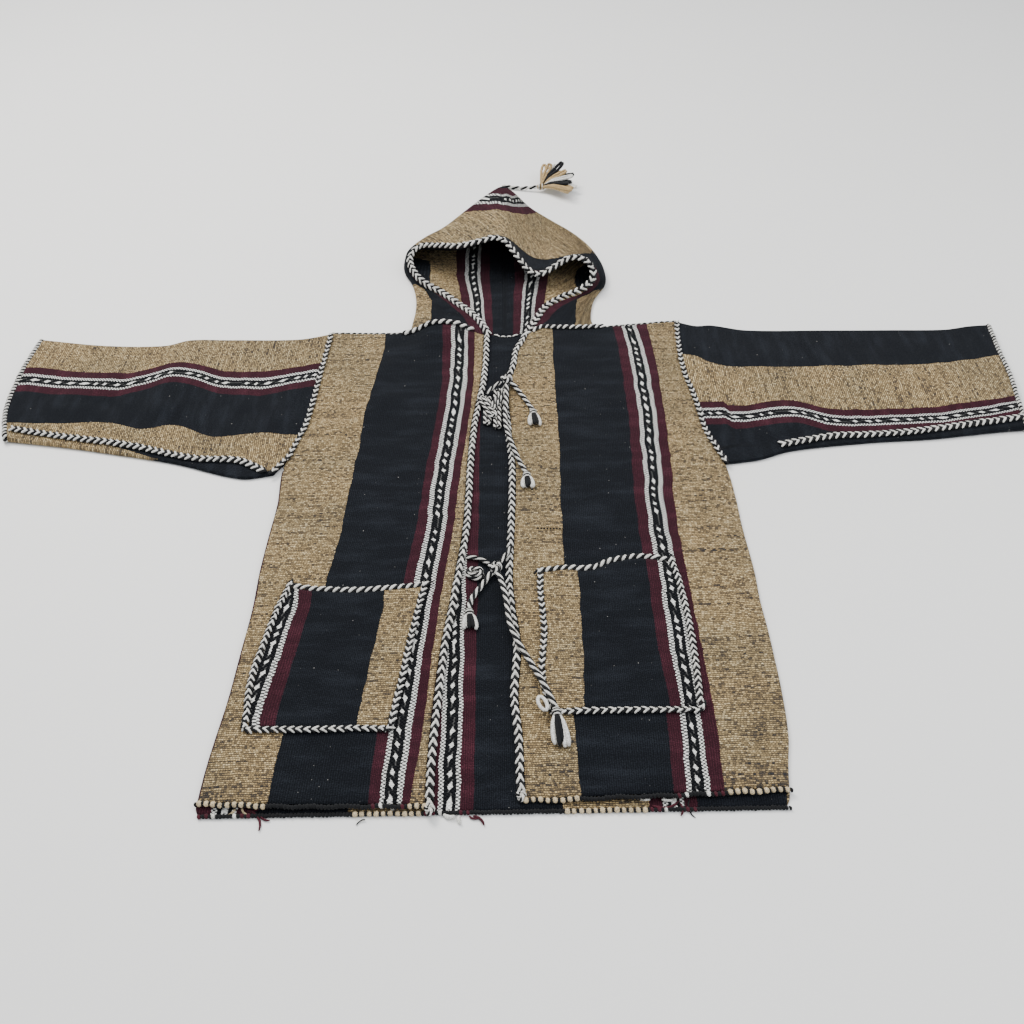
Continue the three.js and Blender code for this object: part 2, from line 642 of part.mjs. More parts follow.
// Direction in which the cloth leaves the rim, square to the rim.
function rimToCloth(index) {
  const rib = HOOD_RIBS[index];
  const tangent = rimPoint(index + 1).sub(rimPoint(index - 1)).normalize();
  const slope = point(rib.outX, rib.outY, rib.fold).sub(rimPoint(index)).normalize();
  slope.z -= RIM_DROP * (rib.steep - 1);
  return slope.addScaledVector(tangent, -slope.dot(tangent)).normalize();
}

function hoodRib(index) {
  const rib = HOOD_RIBS[index];
  const neck = index === 0 || index === HOOD_RIBS.length - 1;
  const half = rib.outX < 0 ? RIGHT : LEFT;
  const neckHeight = (x) => frontHeight(half, x, topFront(x));
  const fold = neck ? neckHeight(rib.outX) : rib.fold;
  const radius = (fold - BACK_MID) / 2;
  const outward = outlineNormal(index);
  const out = point(rib.outX, rib.outY, 0);
  const turnPoint = out.clone().addScaledVector(outward, -radius);
  const clear = RIM_BRAID.width / 2 + LAY_GAP + (neck ? NECK_RIB_SHORTER : 0);
  const start = rimPoint(index).addScaledVector(rimToCloth(index), clear);
  const points = HOOD_UPPER_STEPS.map((t) => {
    const p = start.clone().lerp(turnPoint, t);
    if (neck) return point(p.x, topFront(p.x) + NECK_GAP, neckHeight(p.x));
    return p.setZ(fold + (start.z - fold) * (1 - t) ** rib.steep);
  });
  for (const turn of FOLD_TURNS) {
    const angle = Math.PI * turn;
    const p = out.clone().addScaledVector(outward, -radius * (1 - Math.sin(angle)));
    if (neck) p.y = topFront(rib.outX) + NECK_GAP;
    points.push(p.setZ(BACK_MID + radius * (1 + Math.cos(angle))));
  }
  for (const step of HOOD_UNDER_STEPS) {
    const p = turnPoint.clone().lerp(point(0, rib.spine, 0), step);
    if (neck) p.y = topBack(p.x) + NECK_GAP;
    points.push(p.setZ(BACK_MID));
  }
  return points;
}

function hood() {
  const ribs = HOOD_RIBS.map((rib, i) => hoodRib(i));
  const size = ribs[0].length;
  const last = ribs.length - 1;
  const id = (i, j) => (j === size - 1 ? Math.min(i, last - i) : i) * size + j;
  const cells = [];
  for (let i = 0; i < last; i += 1) {
    for (let j = 0; j < size - 1; j += 1) {
      cells.push([id(i, j), id(i + 1, j), id(i + 1, j + 1), id(i, j + 1)]);
    }
  }
  return clothWall(ribs.flat(), cells);
}

// The braid round the face opening follows the ribs' rims.
function hoodRimBraid() {
  const path = HOOD_RIBS.map((rib, i) => rimPoint(i));
  return band(path, (i) => rimToCloth(i), RIM_BRAID);
}

// ---- pockets: lie on the fronts, made from the fronts' own height moved out ----
const POCKET_STEPS = 7;

function pocketPoint(half, pocket, a, b, grow = 0) {
  const [low, high] = [pocket.rows[0].y, pocket.rows.at(-1).y];
  const y0 = lerp(low, high, b);
  const inset = EDGE_BRAID.width / 2 + SEAM_GAP - grow;
  const outer = along(pocket.rows, 'y', y0, 'outer') - half.sign * inset;
  const inner = along(pocket.rows, 'y', y0, 'inner') + half.sign * inset;
  const mouth = along(pocket.mouth, 'a', a, 'y') * b ** 3;
  const y = y0 + mouth + lerp(inset, -inset, b);
  return { x: lerp(inner, outer, a), y };
}

function pocket(half) {
  const points = [];
  const cells = [];
  const size = POCKET_STEPS + 1;
  for (let i = 0; i < size; i += 1) {
    for (let j = 0; j < size; j += 1) {
      const { x, y } = pocketPoint(half, POCKETS[half.name], i / POCKET_STEPS, j / POCKET_STEPS);
      points.push(point(x, y, frontHeight(half, x, y) + CLOTH + LAY_GAP));
    }
  }
  for (let i = 0; i < POCKET_STEPS; i += 1) {
    for (let j = 0; j < POCKET_STEPS; j += 1) {
      const a = i * size + j;
      cells.push(half.sign > 0 ? [a, a + size, a + size + 1, a + 1] : [a, a + 1, a + size + 1, a + size]);
    }
  }
  return clothWall(points, cells);
}

const onFront = (half, x, y, height) => (
  point(x, y, frontHeight(half, x, y) + CLOTH / 2 + LAY_GAP + height / 2));

function pocketBraid(half) {
  const grow = EDGE_BRAID.width / 2 + SEAM_GAP;
  const corners = [];
  for (let k = 0; k < POCKET_STEPS; k += 1) corners.push([k / POCKET_STEPS, 0]);
  for (let k = 0; k < POCKET_STEPS; k += 1) corners.push([1, k / POCKET_STEPS]);
  for (let k = 0; k < POCKET_STEPS; k += 1) corners.push([1 - k / POCKET_STEPS, 1]);
  for (let k = 0; k < POCKET_STEPS; k += 1) corners.push([0, 1 - k / POCKET_STEPS]);
  const path = corners.map(([a, b]) => {
    const { x, y } = pocketPoint(half, POCKETS[half.name], a, b, grow);
    return onFront(half, x, y, POCKET_BRAID.height);
  });
  return band(path, levelAcross, POCKET_BRAID, { closed: true });
}

// ---- braids along edges and seams ----
const spaced = (from, to, pitch) => {
  const steps = Math.max(2, Math.round(Math.abs(to - from) / pitch));
  return [...Array(steps + 1).keys()].map((k) => lerp(from, to, k / steps));
};

function frontBraid(half) {
  const shift = point(-half.sign * (EDGE_BRAID.width / 2 + LAY_GAP), 0, EDGE_BRAID.height / 2 - 1.5);
  const rows = [...Array(LOWER_ROWS + UPPER_ROWS + 1).keys()];
  const path = rows.map((row) => bodyPoint({ kind: 'front', half, u: 0 }, row).add(shift));
  path[0].y = half.braidStart;
  path.at(-1).lerp(path.at(-2), 0.14);
  return band(path, levelAcross, EDGE_BRAID);
}

function neckBraid(half) {
  const lift = point(0, NECK_GAP / 2, CLOTH / 2 + SEAM_GAP + SEAM_BRAID.height / 2 + 0.4);
  const top = LOWER_ROWS + UPPER_ROWS;
  const edge = FRONT_STEPS.map((u) => bodyPoint({ kind: 'front', half, u }, top));
  const path = edge.filter((p) => Math.abs(p.x) > NECK_BRAID_INNER && Math.abs(p.x) < NECK_SIDE + 8);
  return band(path.map((p) => p.add(lift)), levelAcross, SEAM_BRAID);
}

function shoulderBraid(half) {
  const path = spaced(NECK_SIDE + 12, 268, 30).map((away) => {
    const x = half.sign * away;
    return point(x, topFront(x) + NECK_GAP + SHOULDER_BRAID.width / 2, SHOULDER_BRAID.height / 2 + 0.2);
  });
  return band(path, levelAcross, SHOULDER_BRAID);
}

function armholeBraid(half) {
  const top = half.sleeve[0].far - 4;
  const path = spaced(top, half.sleeve[0].near + 4, 24).map((y) => {
    const x = headX(half, y);
    const cloth = Math.max(frontHeight(half, x, y), SLEEVE_EDGE_MID + SEAM_GAP);
    return point(x, y, cloth + CLOTH / 2 + LAY_GAP + SEAM_BRAID.height / 2);
  });
  return band(path, levelAcross, SEAM_BRAID);
}

// Place on the sleeve's upper cloth over a point of the plan.
function onSleeve(half, x, y, height) {
  let s = 0.5;
  let w = 0.5;
  for (let pass = 0; pass < 12; pass += 1) {
    const [near, far] = [along(half.sleeve, 's', s, 'near'), along(half.sleeve, 's', s, 'far')];
    w = clamp((y - near) / (far - near), 0, 1);
    const start = headX(half, lerp(half.sleeve[0].near, half.sleeve[0].far, w));
    s = clamp((x - start) / (along(half.cuff, 'w', w, 'x') - start), 0, 1);
  }
  return point(x, y, sleeveHeight(half, s, w) + CLOTH / 2 + LAY_GAP + height / 2);
}

function sleeveSeamBraid(half) {
  const seam = half.sleeveSeam;
  const path = spaced(seam[0].x, seam.at(-1).x, 26)
    .map((x) => onSleeve(half, x, along(seam, 'x', x, 'y'), SEAM_BRAID.height));
  return band(path, levelAcross, SEAM_BRAID);
}

function cuffBraid(half) {
  const floor = CUFF_BRAID.height / 2 + 0.2;
  const outward = half.sign * (SEAM_GAP + CUFF_BRAID.width / 2 + 0.4);
  const path = sleeveRing(half, 1, floor, 0.6).map((p) => p.setX(p.x + outward));
  return band(path, () => point(1, 0, 0), CUFF_BRAID, { closed: true });
}

function frontHemCord(half) {
  const shift = point(0, -SEAM_GAP - HEM_CORD.width / 2, 0.6);
  const path = FRONT_STEPS.map((u) => bodyPoint({ kind: 'front', half, u }, 0).add(shift));
  path.at(-1).lerp(path.at(-2), 0.2);
  return band(path, levelAcross, HEM_CORD);
}

function backHemCord() {
  const y = BACK_HEM - SEAM_GAP - HEM_CORD.width / 2;
  const [from, to] = [sideX(RIGHT, 0) + 4, sideX(LEFT, 0) - 4];
  const path = spaced(from, to, 60).map((x) => point(x, y, HEM_CORD.height / 2 + 0.1));
  return band(path, levelAcross, HEM_CORD);
}

// ---- ties and tassels ----
// A hanging loop of cord, lying flat: two straight runs and two round ends.
function tieLoop({ x, y, z, width, length, turn }) {
  const radius = (width - TIE_CORD) / 2;
  const run = length / 2 - width / 2;
  const path = [];
  for (let k = 0; k <= 5; k += 1) {
    const angle = (Math.PI * k) / 5;
    path.push(point(radius * Math.cos(angle), run + radius * Math.sin(angle), 0));
  }
  for (let k = 0; k <= 5; k += 1) {
    const angle = (Math.PI * k) / 5;
    path.push(point(-radius * Math.cos(angle), -run - radius * Math.sin(angle), 0));
  }
  const placed = path.map((p) => p.applyAxisAngle(point(0, 0, 1), turn).add(point(x, y, z)));
  return band(placed, levelAcross, { width: TIE_CORD - 1.6, height: TIE_CORD - 1.2 }, { closed: true });
}

// A lock of yarn of four sides, from its root along a curve.
function lock(root, middle, tip, thickness) {
  const curve = new THREE.QuadraticBezierCurve3(root, middle, tip);
  return band(curve.getPoints(4), levelAcross, { width: thickness, height: thickness * 1.2 }, { sides: 4 });
}

// The tuft at a tie's end: a wrapped head and three folded yarns.
function tieTassel(end) {
  const [x, y, z] = end.route.at(-1);
  const along2d = point(end.tassel.dx, end.tassel.dy, 0);
  const length = along2d.length();
  const forward = along2d.clone().normalize();
  const aside = point(-forward.y, forward.x, 0);
  const headAt = point(x, y, z).addScaledVector(forward, TASSEL_HEAD + SEAM_GAP);
  const head = new THREE.SphereGeometry(TASSEL_HEAD, 8, 6).translate(headAt.x, headAt.y, headAt.z);
  const locks = [-1, 0, 1].map((k) => {
    const middle = headAt.clone().addScaledVector(forward, length * 0.45).addScaledVector(aside, 5.5 * k);
    const tip = headAt.clone().addScaledVector(forward, length - 6).addScaledVector(aside, 3.6 * k);
    return lock(headAt.clone(), middle, tip.setZ(end.tassel.tipZ), TASSEL_YARN);
  });
  return fuse([head, ...locks]);
}

function hoodTassel() {
  const { head, locks, length, lifts, lengths } = HOOD_TASSEL;
  const centre = point(head.x, head.y, head.z);
  const knot = new THREE.SphereGeometry(0.5, 10, 7).scale(head.length, head.width, head.width);
  knot.translate(head.x, head.y, head.z);
  const strands = [...Array(locks).keys()].map((k) => {
    const part = k / (locks - 1);
    const swing = lerp(HOOD_TASSEL.turnFrom, HOOD_TASSEL.turnTo, part);
    const rise = lifts[k % lifts.length] * lerp(0.35, 1, part);
    const reach = length * lengths[k % lengths.length];
    const ahead = point(Math.cos(swing), Math.sin(swing), 0);
    const tip = centre.clone().addScaledVector(ahead, reach * Math.cos(rise));
    tip.z = Math.max(4, centre.z + reach * Math.sin(rise) * 0.85);
    const middle = centre.clone().addScaledVector(ahead, reach * 0.5);
    middle.z = Math.max(5, lerp(centre.z, tip.z, 0.5) + 5);
    return lock(centre.clone(), middle, tip, HOOD_TASSEL.yarn);
  });
  return fuse([knot, ...strands]);
}

// ---- assembly ----
const paint = (color, roughness) => new THREE.MeshStandardMaterial({ color, roughness, metalness: 0 });
const cloth = paint(0x8f7a5c, 0.95);
const darkCloth = paint(0x23252b, 0.95);
const yarn = paint(0xb9b5aa, 0.9);
const tanYarn = paint(0xb99a6b, 0.9);

const jacket = new THREE.Group();
jacket.position.set(0, -BACK_CENTRE, 0);

function add(name, geometry, material) {
  const mesh = new THREE.Mesh(geometry, material);
  mesh.name = name;
  jacket.add(mesh);
}

add('body', body(), cloth);
add('hood', hood(), cloth);
add('hood_rim_braid', hoodRimBraid(), yarn);
for (const half of [RIGHT, LEFT]) {
  add(`sleeve_${half.name}`, sleeve(half), darkCloth);
  add(`pocket_${half.name}`, pocket(half), darkCloth);
  add(`pocket_braid_${half.name}`, pocketBraid(half), yarn);
  add(`front_braid_${half.name}`, frontBraid(half), yarn);
  add(`neck_braid_${half.name}`, neckBraid(half), yarn);
  add(`shoulder_braid_${half.name}`, shoulderBraid(half), yarn);
  add(`armhole_braid_${half.name}`, armholeBraid(half), yarn);
  add(`sleeve_seam_braid_${half.name}`, sleeveSeamBraid(half), yarn);
  add(`cuff_braid_${half.name}`, cuffBraid(half), yarn);
  add(`hem_cord_${half.name}`, frontHemCord(half), tanYarn);
}
add('hem_cord_back', backHemCord(), tanYarn);

const KNOT_PLACES = {
  right: point(braidX(RIGHT, 0), -SEAM_GAP - EDGE_KNOT.length / 2, 9),
  left: point(braidX(LEFT, 0), LEFT.braidStart - SEAM_GAP - EDGE_KNOT.length / 2, 6.6),
};
for (const [name, place] of Object.entries(KNOT_PLACES)) {
  add(`edge_knot_${name}`, roundKnot(place, EDGE_KNOT), yarn);
}

for (const [name, tie] of [['upper', UPPER_TIE], ['lower', LOWER_TIE]]) {
  add(`tie_${name}_knot`, roundKnot(tie.knot, TIE_KNOT), yarn);
  tie.bridges.forEach((route, i) => add(`tie_${name}_bridge_${i + 1}`, cord(route, TIE_CORD - 1), yarn));
  tie.loops.forEach((loop, i) => add(`tie_${name}_loop_${i + 1}`, tieLoop(loop), yarn));
  for (const end of tie.ends) {
    add(`tie_${name}_${end.name}_cord`, cord(end.route, TIE_CORD), yarn);
    add(`tie_${name}_${end.name}_tassel`, tieTassel(end), yarn);
  }
}
add('hood_cord', cord(HOOD_TASSEL.route, TIE_CORD), yarn);
add('hood_tassel', hoodTassel(), tanYarn);

export default jacket;
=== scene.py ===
"""A hand-woven hooded jacket of striped wool, laid flat: cloth, braids, ties, floor, light, camera.

Tables are in millimetres, measured from the middle of the hem as in the solids; place() turns them
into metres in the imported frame.
"""
import bisect
import math
import random

import bpy
from mathutils import Matrix, Vector, noise


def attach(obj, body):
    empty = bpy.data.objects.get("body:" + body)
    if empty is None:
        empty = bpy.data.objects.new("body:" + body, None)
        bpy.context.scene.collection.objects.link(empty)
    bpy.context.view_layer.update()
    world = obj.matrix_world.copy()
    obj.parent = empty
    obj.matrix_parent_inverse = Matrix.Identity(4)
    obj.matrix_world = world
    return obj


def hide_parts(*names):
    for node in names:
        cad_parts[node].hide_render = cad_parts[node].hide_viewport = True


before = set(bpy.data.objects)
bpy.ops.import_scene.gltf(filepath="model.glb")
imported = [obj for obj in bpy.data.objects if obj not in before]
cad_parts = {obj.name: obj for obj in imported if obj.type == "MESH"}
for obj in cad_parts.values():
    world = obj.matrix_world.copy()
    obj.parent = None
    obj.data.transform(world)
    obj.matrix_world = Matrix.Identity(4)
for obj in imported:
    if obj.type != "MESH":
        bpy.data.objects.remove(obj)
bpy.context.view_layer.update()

# ---- sizes, as in the solids ----
BACK_CENTRE = 400
CLOTH, SHELL = 2, 1.9     # the solids' cloth, and the one shown in its place
SEAM_GAP = 0.3
NECK_GAP = 0.9
LAY_GAP = 0.85
BACK_MID = 1
FRONT_MID = 4.2
UNDERARM = 505
SHOULDER = 830
BACK_HEM = -6
HEM_RISE = 7              # of the front hems towards the sides
SLEEVE_EDGE_MID = 4.4
CUFF_EDGE_MID = 8.2
FRONT_CLEAR, SLEEVE_CLEAR, ARMHOLE_CLEAR = 0.2, 0.3, 0.4     # between cloth and the yarn on it
SHOULDER_END = 268
EDGE_STEPS = 24           # of the paths along hem and neck
TIE_CORD = 7
EDGE_BRAID = (10, 5)
RIM_BRAID = (13, 6.4)
SEAM_BRAID = (10, 4.4)
POCKET_BRAID = (9, 4.4)
CUFF_BRAID = (8, 4.6)
SHOULDER_BRAID = (6, 5.4)
# one repeat of the stripes across the cloth: black from 0, then where each of the others begins
REPEAT = 225
WINE_AT, WHITE_AT, CHAIN_AT, WHITE2_AT, WINE2_AT, TAN_AT = 96, 110, 115, 128, 133, 147
SIDE_AT = {-1: -78, 1: 211}      # the place in the repeat at each side fold
# spacing of the weave's rows, stitches, ribs, beads and lozenges
PICK, STITCH, RIB, BEAD, LOZENGE = 2.6, 2.9, 2.4, 4.2, 18.5


def table(columns, *rows):
    names = columns.split()
    return [dict(zip(names, row)) for row in rows]


# The wearer's right half lies at x < 0. front: front edge and side up the garment; folds: soft ridges from
# one end to the other; sleeve: its two sides and its height over its length; cuff: over its width; seam: the
# underarm seam where it shows.
RIGHT = {
    "name": "right", "sign": -1, "hem": 0, "braid_start": 0, "gusset": (528, 0.45),
    "front": table(
        "y braid side",
        (-10, -78, -316), (40, -78.5, -315), (80, -77.5, -312), (130, -75, -307.5), (200, -70, -304.5),
        (260, -62.5, -302), (320, -56, -303), (380, -49.5, -301.5), (440, -47, -299), (505, -45.5, -302),
        (550, -44, -293), (600, -41, -282), (660, -33.5, -278), (700, -29, -276.5), (750, -26, -274.5),
        (830, -25, -270.5)),
    "folds": table(
        "x0 y0 x1 y1 width height",
        (-270, 12, -120, 6, 38, 3.2), (-292, 60, -286, 470, 20, 2.2), (-262, 560, -176, 655, 26, 3.4),
        (-214, 690, -150, 770, 30, 2.2), (-96, 330, -84, 480, 26, 2.0)),
    "sleeve": table(
        "s far near loft",
        (0, 824, 500, 0), (0.11, 811, 494, 2.5), (0.35, 812, 525, 3.5), (0.49, 813, 539, 6),
        (0.57, 799, 546, 4), (0.77, 800, 563, 3), (1, 816, 578, 2)),
    "cuff": table("w x", (0, -702), (0.27, -721), (0.7, -727), (1, -724)),
    "sleeve_folds": table(
        "x0 y0 x1 y1 width height",
        (-500, 800, -492, 640, 30, 6), (-345, 560, -300, 700, 26, 3), (-640, 650, -590, 720, 30, 2.5)),
    "seam": table("x y", (-700, 596), (-621, 579), (-524, 559), (-427, 531), (-365, 524), (-332, 506)),
}
LEFT = {
    "name": "left", "sign": 1, "hem": 6, "braid_start": 15, "gusset": (514, 0.5),
    "front": table(
        "y braid side",
        (-10, 15, 286), (35, 13.5, 293), (75, 13, 301), (130, 9, 305), (190, 13, 306), (220, 12, 306),
        (261, 7, 305), (310, 5, 306.5), (385, 8, 304.5), (440, 10, 305), (505, 11, 302), (535, 9.5, 294),
        (565, 7, 286), (610, 5, 282), (662, 2, 278), (700, 7, 273), (734, 15, 271.5), (773, 20, 272),
        (800, 31, 273.5), (843, 42, 277)),
    "folds": table(
        "x0 y0 x1 y1 width height",
        (120, 14, 250, 10, 40, 3.0), (292, 80, 290, 470, 20, 2.2), (276, 540, 190, 640, 28, 3.6),
        (226, 700, 170, 780, 30, 2.0), (40, 350, 34, 560, 26, 2.0)),
    "sleeve": table(
        "s far near loft",
        (0, 843, 508, 0), (0.06, 831, 512, 1.5), (0.11, 832, 516, 3.5), (0.22, 817, 533, 4),
        (0.47, 813, 547, 3.5), (0.69, 810, 553, 3), (0.86, 808, 562, 3), (0.94, 815, 566, 2.5),
        (1, 817, 568, 2)),
    "cuff": table("w x", (0, 733), (0.24, 741), (0.48, 750), (0.75, 755), (1, 763)),
    "sleeve_folds": table(
        "x0 y0 x1 y1 width height",
        (321, 720, 330, 590, 13, 3.4), (380, 560, 452, 600, 26, 4), (560, 690, 640, 640, 34, 3)),
    "seam": table("x y", (386, 541), (461, 556), (511, 558), (576, 563), (646, 573), (698, 581), (736, 587)),
}
POCKETS = {
    "right": {
        "rows": table("y outer inner", (90, -281, -125), (150, -285, -117), (205, -279, -111),
                      (258, -271, -103), (294, -262, -97)),
        "mouth": table("a y", (0, 0), (0.45, -7), (0.75, -5), (1, 2)),
        "stripes": table("y tan black wine white", (108, -161, -249, -266, -275),
                         (264, -145, -233, -249, -255))},
    "left": {
        "rows": table("y outer inner", (108, 212, 50), (158, 215, 41), (220, 216, 45), (285, 212, 43),
                      (320, 207, 44)),
        "mouth": table("a y", (0, -7), (0.18, -2), (0.38, -3), (0.55, 9), (0.78, 15), (1, 7)),
        "stripes": table("y tan black wine white", (120, 86, 179, 191, 195), (190, 89, 175, 188, 195),
                         (305, 90, 175, 189, 195))},
}
TOP_EDGE = table(
    "x front back lift",
    (-271, 824, 824, 0), (-187, 821, 821, 0), (-146, 822, 822, 1), (-112, 824, 822, 16), (-77, 824, 821, 16),
    (-54, 820, 820, 8), (-28, 812, 819, 2), (38, 812, 820, 2), (60, 822, 822, 7), (84, 826, 824, 3),
    (146, 829, 829, 1), (219, 837, 837, 0), (277, 843, 843, 0))
NECK_SIDE = 146
NECK_BRAID_INNER = 46
NECK_LIFT_REACH = 55
# black: how far behind the rim the tan begins; turn: distance of the outer fold from the back seam
HOOD_RIBS = table(
    "rimX rimY rimZ outX outY fold spine steep black turn",
    (-24, 816, 7, -146, 822, 5, 819, 1, 88, 118), (-33, 838, 9, -144, 850, 5, 845, 1, 80, 120),
    (-50, 868, 10, -141, 885, 5, 870, 1, 65, 124), (-73, 896, 11, -142, 920, 5.5, 900, 1, 43, 124),
    (-100, 926, 13, -148, 954, 7, 930, 1, 35, 136), (-130, 951, 16, -155, 974, 9, 960, 1, 80, 165),
    (-150, 980, 21, -166, 1000, 12, 990, 1.2, 80, 165), (-156, 1010, 28, -168, 1034, 14, 1020, 1.5, 80, 168),
    (-141, 1028, 39, -162, 1070, 12, 1050, 2, 60, 140), (-108, 1010, 51, -137, 1112, 9, 1085, 2.6, 75, 118),
    (-72, 990, 61, -104, 1150, 7, 1120, 3, 85, 95), (-38, 993, 67, -64, 1214, 6, 1175, 3.3, 86, 62),
    (-13, 1001, 69, -27, 1271, 5, 1235, 3.5, 86, 30), (6, 996, 65, 0, 1300, 4.6, 1278, 3.4, 88, 12),
    (24, 978, 50, 21, 1280, 5, 1235, 3, 80, 20), (43, 958, 34, 52, 1218, 6, 1175, 2, 62, 55),
    (62, 953, 28, 88, 1169, 7, 1120, 1.8, 55, 88), (86, 959, 37, 118, 1130, 9, 1085, 2.2, 52, 115),
    (110, 965, 49, 141, 1092, 12, 1050, 2.4, 62, 135), (131, 963, 50, 158, 1050, 16, 1020, 2.2, 72, 145),
    (147, 955, 40, 171, 996, 19, 990, 1.6, 80, 165), (149, 938, 27, 172, 955, 15, 960, 1.3, 80, 165),
    (129, 920, 18, 158, 928, 9, 930, 1, 16, 124), (98, 905, 14, 149, 908, 6, 900, 1, 22, 120),
    (70, 882, 12, 143, 880, 5, 870, 1, 45, 120), (53, 848, 10, 141, 852, 5, 845, 1, 60, 120),
    (38.5, 818.2, 7, 146, 829, 5, 819, 1, 72, 120))
RIM_DROP = 0.25
NECK_RIB_SHORTER = 1.6
HOOD_WIDTH = 256

# stripe borders across the fronts, up the garment
FRONT_STRIPES = {
    "right": table(
        "y tan black wine white chain white2 wine2",
        (0, -244, -142, -131, -126, -113, -107, -100), (77, -241, -140, -128, -122, -110, -103, -92),
        (200, -230, -132, -120, -113, -100, -94, -84), (311, -218, -123, -111, -103, -90, -84, -75),
        (388, -210, -115, -102, -95, -82, -76, -67), (443, -208, -110, -100, -92, -79, -73, -63),
        (501, -205, -107, -96, -89, -75, -69, -59), (564, -202, -101, -91, -84, -70, -64, -54),
        (630, -200, -96, -86, -79, -65, -59, -49), (700, -192, -92, -81, -75, -61, -54, -45),
        (776, -185, -94, -81, -74, -60, -55, -45)),
    "left": table(
        "y tan black wine white chain white2 wine2",
        (18, 76, 170, 183, 189, 202, 208, 222), (71, 74, 173, 187, 194, 205, 210, 226),
        (200, 74, 173, 187, 194, 206, 211, 225), (355, 74, 172, 185, 192, 205, 211, 222),
        (437, 75, 172, 186, 192, 204, 210, 223), (495, 76, 174, 189, 196, 208, 214, 227),
        (557, 77, 177, 191, 198, 211, 217, 230), (622, 78, 179, 193, 200, 213, 219, 231),
        (694, 77, 179, 194, 200, 214, 220, 233), (769, 77, 178, 192, 199, 212, 218, 232),
        (835, 78, 173, 187, 193, 205, 211, 229)),
}
STRIPE_NAMES = ("tan", "black", "wine", "white", "chain", "white2", "wine2")
STRIPE_MARKS = (0, WINE_AT, WHITE_AT, CHAIN_AT, WHITE2_AT, WINE2_AT, TAN_AT)
BACK_TAN = (-258, 291)        # the back's last borders before the side folds
BACK_STRIPES = ((-306, -78), (-258, -129), (-161, -225), (-84, -303), (-70, -317), (-65.5, -322),
                (-52.5, -335), (-47, -340), (-33, -354), (57, -450), (146, -528), (194, -579),
                (291, -675), (305, -689))
SLEEVE_STRIPES = {
    "right": table(
        "x high mid low",
        (-712, 741, 682, 612), (-640, 728, 670, 609), (-575, 724, 669, 610), (-513, 741, 686, 594),
        (-465, 743, 690, 600), (-412, 725, 670, 576), (-355, 726, 666, 581), (-275, 749, 692, 578)),
    "left": table(
        "x high mid low",
        (277, 755, 636, 586), (300, 748, 637, 587), (318, 727, 635, 586), (326, 720, 622, 574),
        (412, 716, 635, 584), (466, 715, 613, 566), (526, 715, 612, 566), (626, 715, 614, 570),
        (697, 722, 626, 584), (747, 733, 636, 596)),
}
SLEEVE_MARKS = {"right": (147, 96, 0), "left": (0, -78, -129)}
SLEEVE_NEAR = {"right": (480, 412), "left": (735, 735)}
SLEEVE_BEYOND = {"right": 74, "left": 92}


def along(rows, key, at, name):
    last = len(rows) - 1
    i = 0
    while i < last - 1 and at > rows[i + 1][key]:
        i += 1
    span = rows[i + 1][key] - rows[i][key]
    t = clamp((at - rows[i][key]) / span)

    def slope(j):
        before, after = rows[max(j - 1, 0)], rows[min(j + 1, last)]
        return (after[name] - before[name]) / (after[key] - before[key])
    t2, t3 = t * t, t * t * t
    return ((2 * t3 - 3 * t2 + 1) * rows[i][name] + (t3 - 2 * t2 + t) * span * slope(i)
            + (3 * t2 - 2 * t3) * rows[i + 1][name] + (t3 - t2) * span * slope(i + 1))


def lerp(a, b, t):
    return a + (b - a) * t


def clamp(value, low=0, high=1):
    return min(max(value, low), high)


def shares(count):
    return [k / count for k in range(count + 1)]


def circle(count):
    return [2 * math.pi * k / count for k in range(count)]


def between(xs, ys, at):
    """Straight-line reading of a list of borders, carried on past both ends at one for one."""
    if at <= xs[0]:
        return ys[0] + (at - xs[0]) * (1 if ys[-1] > ys[0] else -1)
    if at >= xs[-1]:
        return ys[-1] + (at - xs[-1]) * (1 if ys[-1] > ys[0] else -1)
    i = bisect.bisect_right(xs, at) - 1
    return lerp(ys[i], ys[i + 1], (at - xs[i]) / max(xs[i + 1] - xs[i], 1e-6))


def place(p):
    return (p[0] / 1000, (p[1] - BACK_CENTRE) / 1000, p[2] / 1000)


# soft creases that the cloth lies in, besides the large folds of the solids
CREASES = table(
    "x0 y0 x1 y1 width height",
    (-250, 150, -240, 330, 9, -0.9), (-150, 20, -165, 90, 12, 1.0), (-215, 20, -205, 80, 12, -1.0),
    (-120, 600, -60, 690, 14, 0.9), (-180, 560, -120, 590, 10, -0.7), (-240, 420, -180, 500, 12, 0.8),
    (-255, 700, -215, 610, 9, -1.1), (-262, 640, -225, 560, 8, 1.2), (-140, 400, -150, 540, 12, 0.7),
    (100, 20, 96, 90, 12, -0.9), (160, 18, 168, 70, 13, 1.1), (238, 16, 240, 96, 12, 0.9),
    (120, 380, 130, 520, 12, 0.8), (60, 600, 40, 720, 12, 0.8), (250, 600, 214, 520, 9, -1.2),
    (262, 560, 236, 500, 8, 1.2), (150, 640, 130, 740, 14, 0.7), (240, 250, 246, 420, 10, -0.8),
    (196, 340, 204, 500, 9, 0.6), (110, 760, 70, 800, 12, 1.0), (-110, 780, -60, 800, 12, 0.9))
